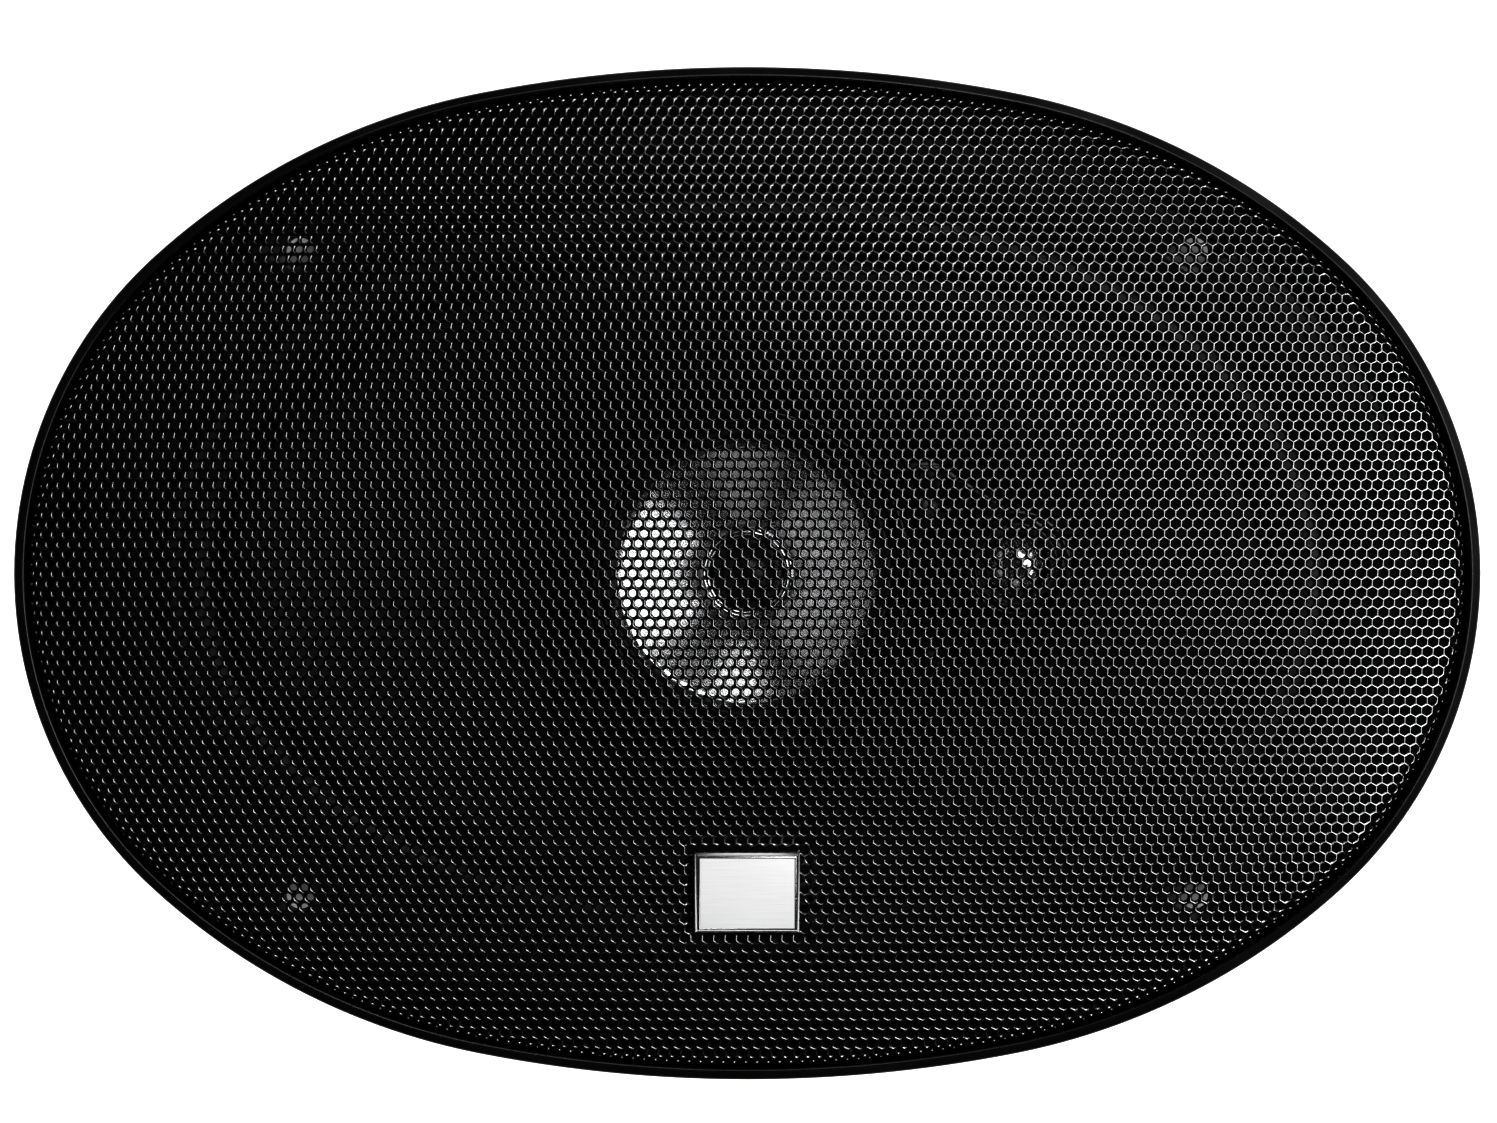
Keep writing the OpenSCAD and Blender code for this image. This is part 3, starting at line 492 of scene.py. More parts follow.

# %% [markdown]
# ## How a piece is made
#
# A speaker is mostly turned and swept rings. For those, draw half of the cross-section as a wire,
# round its corners with a vertex bevel and spin it. Sharp corners give a model away, because no
# real edge is perfectly sharp and every real one catches a line of light.
#
# `finish_piece` does what is the same for all: it turns the bmesh into an object, shades it
# smooth except across true corners, hangs it on the empty of the body it rides on and hides the
# CAD nodes it stands for. Pieces under the flange also get the light of the four low lamps.

# %% Helpers for pieces
STEPS = 192


def finish_piece(bench, name, finish, slot, body, *nodes, corner=38):
    """Object from a bmesh. It rides on body, unless that is None, and stands for the nodes."""
    mesh = bpy.data.meshes.new(name)
    bench.to_mesh(mesh)
    bench.free()
    mesh.shade_smooth()
    mesh.set_sharp_from_angle(angle=math.radians(corner))
    mesh.materials.append(finish)
    piece = bpy.data.objects.new(name, mesh)
    bpy.context.scene.collection.objects.link(piece)
    if body:
        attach(piece, body)
    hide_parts(*nodes)
    if max(spot[2] for spot in piece.bound_box) < 0:
        link_lamps(SIDES, piece, "INCLUDE")
    print(f"{name}: {len(mesh.polygons)} faces for {', '.join(nodes) or 'no node'}")
    return piece


def draw_wire(bench, points, rounding=0.0, closed=True):
    """Wire through points (x, z) in the XZ plane, with its corners rounded."""
    corners = [bench.verts.new((x * MM, 0, z * MM)) for x, z in points]
    following = corners[1:] + corners[:1] if closed else corners[1:]
    sides = [bench.edges.new(pair) for pair in zip(corners, following)]
    inner = corners if closed else corners[1:-1]
    if rounding:
        bmesh.ops.bevel(bench, geom=inner + sides, offset=rounding * MM, offset_type="OFFSET",
                        affect="VERTICES", segments=3, profile=0.5, material=-1, clamp_overlap=True)


def spin(bench, steps=STEPS):
    """Turn all that is drawn once round the Z axis and close it."""
    bmesh.ops.spin(bench, geom=bench.verts[:] + bench.edges[:], cent=(0, 0, 0), axis=(0, 0, 1),
                   angle=math.tau, steps=steps, use_merge=True)
    bmesh.ops.remove_doubles(bench, verts=bench.verts, dist=0.0005 * MM)
    bmesh.ops.recalc_face_normals(bench, faces=bench.faces)


def turned(points, rounding=0.0, closed=True, steps=STEPS, centre=(0, 0)):
    """Solid of revolution from a wire."""
    bench = bmesh.new()
    draw_wire(bench, points, rounding, closed)
    spin(bench, steps)
    bmesh.ops.translate(bench, verts=bench.verts, vec=(centre[0] * MM, centre[1] * MM, 0))
    return bench


def copied(node, edge, corner=30):
    """A CAD node's own shape, merged, with its true corners bevelled by edge millimetres."""
    bench = bmesh.new()
    bench.from_mesh(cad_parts[node].data)
    bmesh.ops.remove_doubles(bench, verts=bench.verts, dist=0.002 * MM)
    bmesh.ops.dissolve_limit(bench, angle_limit=math.radians(0.3), verts=bench.verts,
                             edges=bench.edges)
    sharp = [e for e in bench.edges if e.is_manifold and e.calc_face_angle() > math.radians(corner)]
    if edge:
        bmesh.ops.bevel(bench, geom=sharp, offset=edge * MM, offset_type="OFFSET", affect="EDGES",
                        segments=2, profile=0.5, material=-1, clamp_overlap=True)
    return bench


def carved(bench, cutter):
    """bench with cutter's volume taken away, through a Boolean modifier on a throwaway object."""
    made = []
    for mould in (bench, cutter):
        mesh = bpy.data.meshes.new("mould")
        mould.to_mesh(mesh)
        mould.free()
        made.append(bpy.data.objects.new("mould", mesh))
        bpy.context.scene.collection.objects.link(made[-1])
    carve = made[0].modifiers.new("carve", "BOOLEAN")
    carve.object, carve.operation, carve.solver = made[1], "DIFFERENCE", "EXACT"
    graph = bpy.context.evaluated_depsgraph_get()
    result = bmesh.new()
    result.from_mesh(made[0].evaluated_get(graph).to_mesh())
    for mould in made:
        mesh = mould.data
        bpy.data.objects.remove(mould)
        bpy.data.meshes.remove(mesh)
    return result


# %% [markdown]
# ## The oval
#
# The basket and the grille are not ellipses. Their outline is drawn with three arcs a quadrant,
# as a pattern maker draws it: a tight one at the corner between a wider one at the end and a very
# wide one along the side. Arcs have one great merit: moved outwards they stay arcs about the same
# centres, so every ring of the speaker can be counted as a distance from one of two ovals.

# %% Ovals from three arcs
Oval = namedtuple("Oval", "centres radii low high")


def oval(length, width, end_share, low, high):
    """Oval of this half length and width. Arcs meet where the normal has turned by low and high."""
    low, high = math.radians(low), math.radians(high)
    end = end_share * width * width / length
    system = np.array([[math.cos(high), math.cos(low) - math.cos(high)],
                       [math.sin(high) - 1, math.sin(low) - math.sin(high)]])
    known = np.array([length - end + end * math.cos(low), end * math.sin(low) - width])
    side, corner = np.linalg.solve(system, known)
    first = np.array([0.0, width - side])
    second = first + (side - corner) * np.array([math.cos(high), math.sin(high)])
    third = second + (corner - end) * np.array([math.cos(low), math.sin(low)])
    return Oval((third, second, first), (end, corner, side), low, high)


def oval_point(o, normal, out):
    """Point out millimetres outside the oval, where its normal points this way."""
    steep = math.acos(min(1.0, abs(math.cos(normal))))
    arc = 0 if steep < o.low else 1 if steep < o.high else 2
    x, y = o.centres[arc] + (o.radii[arc] + out) * np.array([math.cos(steep), math.sin(steep)])
    return math.copysign(x, math.cos(normal)), math.copysign(y, math.sin(normal))


def oval_normal(o, share):
    """Direction of the normal after this share of the way round, from +X."""
    quarter, along = divmod(share * 4 % 4, 1)
    along = 1 - along if quarter % 2 else along
    turns = (0, o.low, o.high, math.pi / 2)
    lengths = [r * (b - a) for r, a, b in zip(o.radii, turns, turns[1:])]
    rest = along * sum(lengths)
    for arc in range(3):
        if rest <= lengths[arc] or arc == 2:
            steep = turns[arc] + rest / o.radii[arc]
            break
        rest -= lengths[arc]
    return [steep, math.pi - steep, math.pi + steep, math.tau - steep][int(quarter)]


def oval_reach(o, x, y):
    """Distance outside the oval of points (x, y), and the two parts of the outward direction."""
    ax, ay = np.abs(x), np.abs(y)
    turn = [np.arctan2(ay - c[1], ax - c[0]) for c in o.centres]
    arc = np.where(turn[0] <= o.low, 0, np.where(turn[2] >= o.high, 2, 1))
    angle = np.choose(arc, turn)
    centre = np.array(o.centres)[arc]
    reach = np.hypot(ax - centre[:, 0], ay - centre[:, 1]) - np.array(o.radii)[arc]
    return reach, np.cos(angle) * np.sign(x), np.sin(angle) * np.sign(y)


OUTER_LIP = 10.5
RIM_SHAPE = (1.224, 47.6, 78.9)  # share of the end's arc, and the two angles where arcs meet
CREST_SHAPE = (1.113, 40.7, 70.2)

cloth_low, cloth_high = box("surround")
outer = oval(rim_high.x, rim_high.y, *RIM_SHAPE)
crest = oval(cloth_high.x - OUTER_LIP, cloth_high.y - OUTER_LIP, *CREST_SHAPE)
print("arc radii, mm:", [round(r, 1) for r in outer.radii], [round(r, 1) for r in crest.radii])

# %% [markdown]
# ## From circle to oval
#
# Spin makes only circles. So a swept ring is first spun round a large circle, and then each of
# its points is moved to the same share of the oval's length, at the same distance outside it.
# The cross-section stays true everywhere, which scaling a circle along X would not give. The
# flange needs two ovals at once, one for its opening and one for its edge, so the points far out
# in its section follow the second one.

# %% Swept ovals
BASE = 100.0
SWITCH = 50.0


def swept(o, points, rounding=0.0, steps=STEPS, second=None):
    """Ring whose section counts x outwards from oval o. Where x is over SWITCH, it counts from BASE
    and from the second oval."""
    bench = turned([(BASE + out, z) for out, z in points], rounding, steps=steps)
    for v in bench.verts:
        share = math.atan2(v.co.y, v.co.x) / math.tau
        out = v.co.xy.length / MM - BASE
        course = o if out < SWITCH else second
        x, y = oval_point(course, oval_normal(course, share), out if course is o else out - BASE)
        v.co = x * MM, y * MM, v.co.z
    return bench


def gathered(benches):
    """Several benches as one."""
    whole = benches[0]
    for other in benches[1:]:
        part = bpy.data.meshes.new("part")
        other.to_mesh(part)
        other.free()
        whole.from_mesh(part)
        bpy.data.meshes.remove(part)
    return whole


def half_round(middle, height, radius, steps):
    """Points of a half roll, from its outer foot over the top to its inner one."""
    arc = [math.pi * i / steps for i in range(steps + 1)]
    return [(middle + radius * math.cos(a), height + radius * math.sin(a)) for a in arc]


# %% [markdown]
# ## The grille's rim
#
# A moulded ring of black plastic. Seen from the front it shows a flat land, then a thin bead that
# catches the light, then a dark step down to the ledge that carries the sheet. Four pegs under
# the ledge press into the basket. The section is drawn once and swept round the outer oval.

# %% Grille rim
sheet_low, sheet_high = box("grille_mesh")
flange_top = box("basket_flange")[1].z
LAND, BEAD_R, LEDGE_IN = 1.22, 0.27, 8.6
PEG_R, PEG_IN, PEG_TIP = 1.5, 6.0, 0.1
land_z = rim_high.z - BEAD_R - 0.15
wall_in = LAND + 2 * BEAD_R

section = [(0, 0), (-0.05, land_z - 0.2), (-0.25, land_z)]
section += half_round(-LAND - BEAD_R, land_z, BEAD_R, 8)
section += [(-wall_in, sheet_low.z), (-LEDGE_IN, sheet_low.z), (-LEDGE_IN, flange_top),
            (-wall_in, flange_top), (-wall_in, 0)]
peg = [(0, PEG_TIP), (PEG_R, PEG_TIP), (PEG_R, flange_top + 0.5), (0, flange_top + 0.5)]
peg_spots = [(way * (rim_high.x - PEG_IN), 0) for way in (-1, 1)]
peg_spots += [(0, way * (rim_high.y - PEG_IN)) for way in (-1, 1)]
pegs = [turned(peg, 0.3, closed=False, steps=32, centre=spot) for spot in peg_spots]
bench = gathered([swept(outer, section, steps=288)] + pegs)
rim = finish_piece(bench, "grille_rim", satin_plastic, "black_plastic", "grille", "grille_frame")
link_lamps(FILLS, rim, "EXCLUDE")
link_lamps(["side_0", "side_90"], rim, "INCLUDE")

# %% [markdown]
# ## One hole of the sheet
#
# The sheet has more than ten thousand holes, so one cell has to be cheap: four rings of twelve
# points. A circle is the lip of the hole. Extruded outwards it becomes the hexagon on which this
# cell meets its neighbours, a little higher, which leaves a ridge round every hole. Extruded
# downwards it becomes the wall of the hole, and that once more outwards the underside.
# Twelve points serve both shapes, six for the hexagon's corners and six for its sides' middles.

# %% Model one cell
PITCH = 1.885
HOLE_R = 0.645
LIP_DROP = 0.26
SHEET_T = 0.9
CELL_SIDES = 12


def grow(bench, ring, radius, height):
    """Extrude a ring of edges to this radius, a number or a function of the angle, and height."""
    made = bmesh.ops.extrude_edge_only(bench, edges=ring)["geom"]
    for v in (g for g in made if isinstance(g, bmesh.types.BMVert)):
        way = v.co.xy.normalized()
        reach = radius(math.atan2(way.y, way.x)) if callable(radius) else radius
        v.co = way.x * reach * MM, way.y * reach * MM, height * MM
    return [g for g in made if isinstance(g, bmesh.types.BMEdge)]


def hexagon(angle):
    """Reach of the hexagon whose sides face 0, 60, 120 degrees and so on."""
    off = (angle + math.pi / 6) % (math.pi / 3) - math.pi / 6
    return PITCH / 2 / math.cos(off)


cell = bmesh.new()
bmesh.ops.create_circle(cell, segments=CELL_SIDES, radius=HOLE_R * MM)
bmesh.ops.translate(cell, verts=cell.verts, vec=(0, 0, -LIP_DROP * MM))
lip = cell.edges[:]
grow(cell, lip, hexagon, 0)
foot = grow(cell, lip, HOLE_R, -SHEET_T)
grow(cell, foot, hexagon, -SHEET_T)
print("one cell:", len(cell.faces), "faces")

# %% [markdown]
# ## The flat blank
#
# A pressed grille starts as a flat perforated blank. Two Array modifiers make it: the unit is two
# cells, one a half pitch along and one row up from the other, repeated along X and then along Y.
# Repeating by hand would take a loop over ten thousand copies; the arrays take two lines.

# %% Lay out the blank
LEAN = math.radians(15.3)
SHOULDER_R = 3.0
SKIRT = 1.7

ROW = PITCH * math.sqrt(3) / 2
edge_in = rim_high.x - sheet_high.x
shoulder_in = edge_in + SHOULDER_R * (1 - math.sin(LEAN))
arc_length = SHOULDER_R * (math.pi / 2 - LEAN)
shoulder = outer._replace(radii=tuple(r - shoulder_in for r in outer.radii))
blank_out = arc_length + SKIRT
columns = math.ceil((rim_high.x - shoulder_in + blank_out) / PITCH) * 2 + 1
rows = math.ceil((rim_high.y - shoulder_in + blank_out) / ROW / 2) * 2 + 1

second = bmesh.ops.duplicate(cell, geom=cell.verts[:] + cell.edges[:] + cell.faces[:])["geom"]
bmesh.ops.translate(cell, verts=[g for g in second if isinstance(g, bmesh.types.BMVert)],
                    vec=(PITCH / 2 * MM, ROW * MM, 0))
corner = Vector((-(columns // 2) * PITCH, -(rows // 2) * 2 * ROW, 0)) * MM
bmesh.ops.translate(cell, verts=cell.verts, vec=corner)
blank_mesh = bpy.data.meshes.new("blank")
cell.to_mesh(blank_mesh)
cell.free()
blank = bpy.data.objects.new("blank", blank_mesh)
bpy.context.scene.collection.objects.link(blank)
for count, step in ((columns, (PITCH, 0, 0)), (rows, (0, 2 * ROW, 0))):
    array = blank.modifiers.new("array", "ARRAY")
    array.count = count
    array.use_relative_offset, array.use_constant_offset = False, True
    array.constant_offset_displace = Vector(step) * MM
graph = bpy.context.evaluated_depsgraph_get()
sheet = bmesh.new()
sheet.from_mesh(blank.evaluated_get(graph).to_mesh())
bpy.data.objects.remove(blank)
bpy.data.meshes.remove(blank_mesh)
print("blank:", columns * rows * 2, "cells,", len(sheet.faces), "faces")

# %% [markdown]
# ## Trim the blank
#
# The blank is cut whole cells at a time along an oval that is as far outside the dome as the
# shoulder and the skirt are long. Each face belongs to the cell whose centre is nearest, and the
# centres lie on two square grids, so rounding finds it. Where the cut runs, the open edges of the
# top are extruded down to those of the underside, which closes the sheet.

# %% Trim and close the blank
def cell_centre(x, y):
    """Centres of the cells that hold the points."""
    best = None
    for shift in (0.0, 1.0):
        cx = (np.round(x / PITCH - shift / 2) + shift / 2) * PITCH
        cy = (np.round(y / ROW / 2 - shift / 2) + shift / 2) * ROW * 2
        away = np.hypot(x - cx, y - cy)
        if best is None:
            best = cx, cy, away
        else:
            nearer = away < best[2]
            best = np.where(nearer, cx, best[0]), np.where(nearer, cy, best[1]), away
    return best[0], best[1]


middles = np.array([f.calc_center_median()[:2] for f in sheet.faces]) / MM
centre_x, centre_y = cell_centre(middles[:, 0], middles[:, 1])
beyond = oval_reach(shoulder, centre_x, centre_y)[0] > blank_out
waste = [face for face, gone in zip(sheet.faces[:], beyond) if gone]
bmesh.ops.delete(sheet, geom=waste, context="FACES")
bmesh.ops.remove_doubles(sheet, verts=sheet.verts, dist=0.01 * MM)
border = [e for e in sheet.edges if e.is_boundary and e.verts[0].co.z > -0.1 * MM]
walls = bmesh.ops.extrude_edge_only(sheet, edges=border)["geom"]
bmesh.ops.translate(sheet, verts=[g for g in walls if isinstance(g, bmesh.types.BMVert)],
                    vec=(0, 0, -SHEET_T * MM))
bmesh.ops.remove_doubles(sheet, verts=sheet.verts, dist=0.01 * MM)
bmesh.ops.recalc_face_normals(sheet, faces=sheet.faces)
print("trimmed:", len(sheet.faces), "faces; open edges:", sum(e.is_boundary for e in sheet.edges))

# %% [markdown]
# ## Press the blank
#
# Pressing is one move of every point. Inside the shoulder the sheet rises to a shallow dome.
# Outside it the sheet rolls over an arc and runs down as a skirt, and since the distance along
# the sheet is kept, the holes there look narrower from the front, as they do on the real one.
# Round the badge the sheet is pushed in a little, so that the badge sits in a shallow seat.
# Points below the top face follow along the surface's own normal.

# %% Press the dome, the shoulder and the badge's seat
SEAT_DEPTH, SEAT_START, SEAT_END = 0.5, 0.2, 2.2

badge_low, badge_high = box("badge_bezel")
rim_z = sheet_low.z + SHOULDER_R * (1 + math.cos(LEAN))
crown = sheet_high.z - rim_z
compass = np.array([oval_point(shoulder, oval_normal(shoulder, i / 720), 0) for i in range(721)])
compass_angle = np.unwrap(np.arctan2(compass[:, 1], compass[:, 0]))
compass_reach = np.hypot(compass[:, 0], compass[:, 1])


def dome_height(x, y):
    """Height of the pressed sheet inside the shoulder."""
    angle = np.arctan2(y, x) % math.tau
    share = np.hypot(x, y) / np.interp(angle, compass_angle, compass_reach)
    middle = (badge_low + badge_high) / 2
    half = (badge_high - badge_low) / 2
    gap = np.maximum(np.abs(x - middle.x) - half.x, np.abs(y - middle.y) - half.y)
    fade = np.clip((SEAT_END - gap) / (SEAT_END - SEAT_START), 0, 1)
    return rim_z + crown * (1 - share**2) - SEAT_DEPTH * fade * fade * (3 - 2 * fade)


def pressed(x, y, drop):
    """Where a point of the flat blank goes, with drop the distance below its top face."""
    reach, out_x, out_y = oval_reach(shoulder, x, y)
    outside = np.maximum(reach, 0)
    foot_x, foot_y = x - outside * out_x, y - outside * out_y
    step = 0.05
    height = dome_height(foot_x, foot_y)
    slope_x = (dome_height(foot_x + step, foot_y) - dome_height(foot_x - step, foot_y)) / (2 * step)
    slope_y = (dome_height(foot_x, foot_y + step) - dome_height(foot_x, foot_y - step)) / (2 * step)
    size = np.sqrt(slope_x**2 + slope_y**2 + 1)
    normal = np.array([-slope_x / size, -slope_y / size, 1 / size])
    angle = LEAN + np.minimum(outside, arc_length) / SHOULDER_R
    down = np.maximum(outside - arc_length, 0)
    run = SHOULDER_R * (np.sin(angle) - math.sin(LEAN))
    fall = SHOULDER_R * (math.cos(LEAN) - np.cos(angle)) + down
    rolled = np.array([np.sin(angle) * out_x, np.sin(angle) * out_y, np.cos(angle)])
    normal = np.where(reach > 0, rolled, normal)
    top = np.array([foot_x + run * out_x, foot_y + run * out_y, height - fall])
    return top - drop * normal


flat = np.array([v.co[:] for v in sheet.verts]) / MM
lifted = pressed(flat[:, 0], flat[:, 1], -flat[:, 2]).T * MM
for v, spot in zip(sheet.verts, lifted):
    v.co = spot
print("pressed sheet, mm:", np.round(lifted.min(0) / MM, 2), np.round(lifted.max(0) / MM, 2))

# %% [markdown]
# ## Cut the sheet into strips
#
# One mesh of the whole sheet would have over three quarters of a million triangles. It is split
# into strips along cell borders. Each keeps on its points the number that marks the crests for the
# painted highlight, and each keeps the normals of the whole sheet, so that no seam shows where two
# strips meet.

# %% Strips of the sheet
STRIPS = 6

whole = bpy.data.meshes.new("whole_sheet")
sheet.to_mesh(whole)
sheet.free()
whole.shade_smooth()
normals = np.zeros(len(whole.vertices) * 3)
whole.vertex_normals.foreach_get("vector", normals)
normals = normals.reshape(-1, 3)
quads = np.zeros(len(whole.loops), int)
whole.loops.foreach_get("vertex_index", quads)
quads = quads.reshape(-1, 4)
middle = flat[quads, :2].mean(1)
owner_x = cell_centre(middle[:, 0], middle[:, 1])[0]
limits = np.quantile(owner_x, np.linspace(0, 1, STRIPS + 1))[1:-1]
strip_of = np.searchsorted(limits, owner_x)
# Mask of the painted highlight: 1 on the crests, falling to 0 at the lips of the holes.
ridge_highlight_of = np.clip(1 + flat[:, 2] / LIP_DROP, 0, 1)

for strip in range(STRIPS):
    bench = bmesh.new()
    bench.from_mesh(whole)
    others = [f for f, own in zip(bench.faces, strip_of) if own != strip]
    bmesh.ops.delete(bench, geom=others, context="FACES")
    piece = finish_piece(bench, f"grille_sheet_{strip + 1}", lacquer, "black_steel", "grille",
                         "grille_mesh", corner=180)
    kept = np.unique(quads[strip_of == strip])
    piece.data.normals_split_custom_set_from_vertices(normals[kept])
    ridge_highlight = piece.data.attributes.new("ridge_highlight", "FLOAT", "POINT")
    ridge_highlight.data.foreach_set("value", ridge_highlight_of[kept].astype(np.float32))
    link_lamps(["key_low", *FILLS], piece, "EXCLUDE")
    link_lamps(["mesh_key"], piece, "INCLUDE")
bpy.data.meshes.remove(whole)

# %% [markdown]
# ## The badge
#
# A small bright plate low on the sheet: a bevelled frame with a pale plate let into it, held by
# two studs through the sheet. It is left blank. The CAD shapes are right, so they are copied,
# their loose triangles merged, and every edge gets a narrow bevel.

# %% Badge
bezel = finish_piece(copied("badge_bezel", 0.06), "badge_frame", brushed, "brushed_aluminium",
                     "grille", "badge_bezel")
link_lamps(FILLS, bezel, "EXCLUDE")
link_lamps(["badge_kick"], bezel, "INCLUDE")
for node, name, finish, ease in (
        ("badge_face", "badge_plate", satin_plate, 0.03),
        ("badge_studs", "badge_stud_pair", zinc, 0.1)):
    finish_piece(copied(node, ease), name, finish, "brushed_aluminium", "grille", node)

# %% [markdown]
# ## The basket
#
# The flange and its wall are one pressing of sheet steel. It is swept like the rim, and the holes
# are cut afterwards with a Boolean: four screw holes, each in a shallow dimple, and four for the
# grille's pegs. The cup is turned. The eight arms between them are straight channels, so the CAD
# shape is kept and only its edges are eased.

# %% Basket
PEG_HOLE_R = 1.9
SCREW_R, DIMPLE_R, DIMPLE = 2.3, 3.4, 0.4
SCREW_X, SCREW_Y = 75.0, 54.0
WALL_IN = 7.6

flange_low, flange_high = box("basket_flange")
cup_low, cup_high = box("basket_cup")
steel = flange_high.z
edge_out = BASE - (rim_high.x - flange_high.x)
section = [(WALL_IN, flange_low.z), (WALL_IN + steel, flange_low.z), (WALL_IN + steel, 0),
           (edge_out, 0), (edge_out, steel), (WALL_IN, steel)]
plate = swept(crest, section, 0.3, steps=240, second=outer)
hole = [(0, -1), (SCREW_R, -1), (SCREW_R, steel - DIMPLE), (DIMPLE_R, steel),
        (DIMPLE_R, steel + 1), (0, steel + 1)]
peg_hole = [(0, -1), (PEG_HOLE_R, -1), (PEG_HOLE_R, steel + 1), (0, steel + 1)]
screw_spots = [(x, y) for x in (-SCREW_X, SCREW_X) for y in (-SCREW_Y, SCREW_Y)]
drills = [turned(hole, closed=False, steps=48, centre=spot) for spot in screw_spots]
drills += [turned(peg_hole, closed=False, steps=32, centre=spot) for spot in peg_spots]
finish_piece(carved(plate, gathered(drills)), "flange", black_paint, "black_steel", "frame",
             "basket_flange", corner=30)

finish_piece(copied("basket_arms", 0.35), "basket_channels", painted_light_black_paint, "black_steel", "frame",
             "basket_arms")

CUP_HOLE_R = 18.0
SHELF_W = 10.0

shelf_z, floor_z = cup_high.z, cup_low.z
cup_out = cup_high.x - SHELF_W
section = [(CUP_HOLE_R, floor_z), (cup_out, floor_z), (cup_out, shelf_z - steel),
           (cup_high.x, shelf_z - steel), (cup_high.x, shelf_z), (cup_out - steel, shelf_z),
           (cup_out - steel, floor_z + steel), (CUP_HOLE_R, floor_z + steel)]
finish_piece(turned(section, 0.5), "cup", painted_light_black_paint, "black_steel", "frame", "basket_cup")

# %% [markdown]
# ## The front gasket
#
# Four strips of foam-faced board lie end to end on the lip of the surround, and the gaps between
# them are narrow slits. The ring is swept whole and then cut through at four places.

# %% Gasket
GASKET_IN, GASKET_OUT, SLIT = 7.5, 10.5, 0.4

gasket_low, gasket_high = box("front_gasket")
section = [(GASKET_IN, gasket_low.z), (GASKET_OUT, gasket_low.z), (GASKET_OUT, gasket_high.z),
           (GASKET_IN, gasket_high.z)]
ring = swept(crest, section, 0.25)
slits = []
for bearing in (28, 152, 208, 332):
    saw = bmesh.new()
    bmesh.ops.create_cube(saw, size=1)
    bmesh.ops.scale(saw, verts=saw.verts, vec=(0.4, SLIT * MM, 0.05))
    bmesh.ops.translate(saw, verts=saw.verts, vec=(0.2, 0, 0))
    bmesh.ops.rotate(saw, verts=saw.verts, matrix=Matrix.Rotation(math.radians(bearing), 3, "Z"))
    slits.append(saw)
finish_piece(carved(ring, gathered(slits)), "gasket", foam, "gasket_board", "frame", "front_gasket")

# %% [markdown]
# ## Pieces that flex
#
# The surround, the spider and the small surround hold the cones and bend when they move. One edge
# stays with the basket and the other goes with the cone. The helper below only bakes such a ring
# into place and works out how far each point would follow the cone.

# %% Helper for flexing rings
def flexing(piece, share):
    """Bake the ring into place and work out each point's share of the bend, which is then not used.
    """
    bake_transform(piece)
    spots = np.array([v.co[:] for v in piece.data.vertices]) / MM
    part = np.clip(share(spots[:, 0], spots[:, 1]), 0, 1)
    part = part * part * (3 - 2 * part)


# %% [markdown]
# ## The surround
#
# A half roll of rubber between two flat lips: the outer one is glued to the flange, the inner one
# to the cone. Its section is two half circles, one for each face.

# %% Surround
ROLL_R, RUBBER, CONE_LIP = 7.0, 0.8, 3.0

lip_z = cloth_low.z
outer_face = half_round(0, lip_z, ROLL_R, 24)
inner_face = half_round(0, lip_z, ROLL_R - RUBBER, 24)
meet = math.sqrt(ROLL_R**2 - RUBBER**2)
section = [(OUTER_LIP, lip_z), (OUTER_LIP, lip_z + RUBBER), (meet, lip_z + RUBBER)]
section += [spot for spot in outer_face if spot[1] > lip_z + RUBBER * 1.5]
section += [(-meet, lip_z + RUBBER), (-ROLL_R - CONE_LIP, lip_z + RUBBER)]
section += [(-ROLL_R - CONE_LIP, lip_z)] + inner_face[::-1]
piece = finish_piece(swept(crest, section), "surround_roll", rubber, "rubber", None, "surround",
                     corner=50)
flexing(piece, lambda x, y: (ROLL_R - oval_reach(crest, x, y)[0]) / (2 * ROLL_R))

# %% [markdown]
# ## The woofer cone
#
# Pressed paper pulp. Straight lines run from the oval lip to the round neck, and the height falls
# in a gentle flare. The section is drawn over the share of the way in, spun, and then every point
# is placed between the oval and the circle by its share. Low rings pressed into the paper stiffen
# it, and they give the plain surface something for the light to catch.

# %% Woofer cone
PAPER, FLARE = 0.8, 1.3
RIB_H, RIB_W, RIBS = 0.18, 0.012, (0.22, 0.42, 0.62)
CONE_STEPS, SPREAD = 64, 50
FOOT = -0.1  # stands for the strip of the cone that lies under the surround's lip

cone_low, cone_high = box("woofer_cone")
former_high = box("coil_former")[1]
neck_r = former_high.x + 0.3
neck_z = cone_low.z + PAPER


def cone_top(share):
    """Height of the paper's face at this share of the way in, its pressed rings included."""
    rib = sum(RIB_H * math.exp(-(((share - at) / RIB_W) ** 2)) for at in RIBS)
    return cone_high.z - (cone_high.z - neck_z) * share**FLARE + rib


shares = [i / CONE_STEPS for i in range(CONE_STEPS + 1)]
section = [(FOOT, PAPER)] + [(share, PAPER) for share in shares]
section += [(share, 0) for share in reversed(shares)] + [(FOOT, 0)]
bench = turned([(BASE - share * SPREAD, z) for share, z in section])
for v in bench.verts:
    share = (BASE - v.co.xy.length / MM) / SPREAD
    turn = oval_normal(crest, math.atan2(v.co.y, v.co.x) / math.tau)
    lip = Vector(oval_point(crest, turn, -ROLL_R - CONE_LIP))
    spot = lip.lerp(lip.normalized() * neck_r, max(0, share))
    if share < FOOT / 2:
        spot = Vector(oval_point(crest, turn, -ROLL_R))
    v.co = spot.x * MM, spot.y * MM, (cone_top(max(0, share)) - PAPER) * MM + v.co.z
finish_piece(bench, "cone_paper", pulp, "pulp", "woofer", "woofer_cone")

# %% [markdown]
# ## Voice coil, dust shield and spider
#
# Behind the cone the coil rides on a thin amber former. The shield closes the gap round the post.
# The spider is corrugated so that it lets the coil move along the axis and no other way; its
# section is a sine wave between two flat rims.

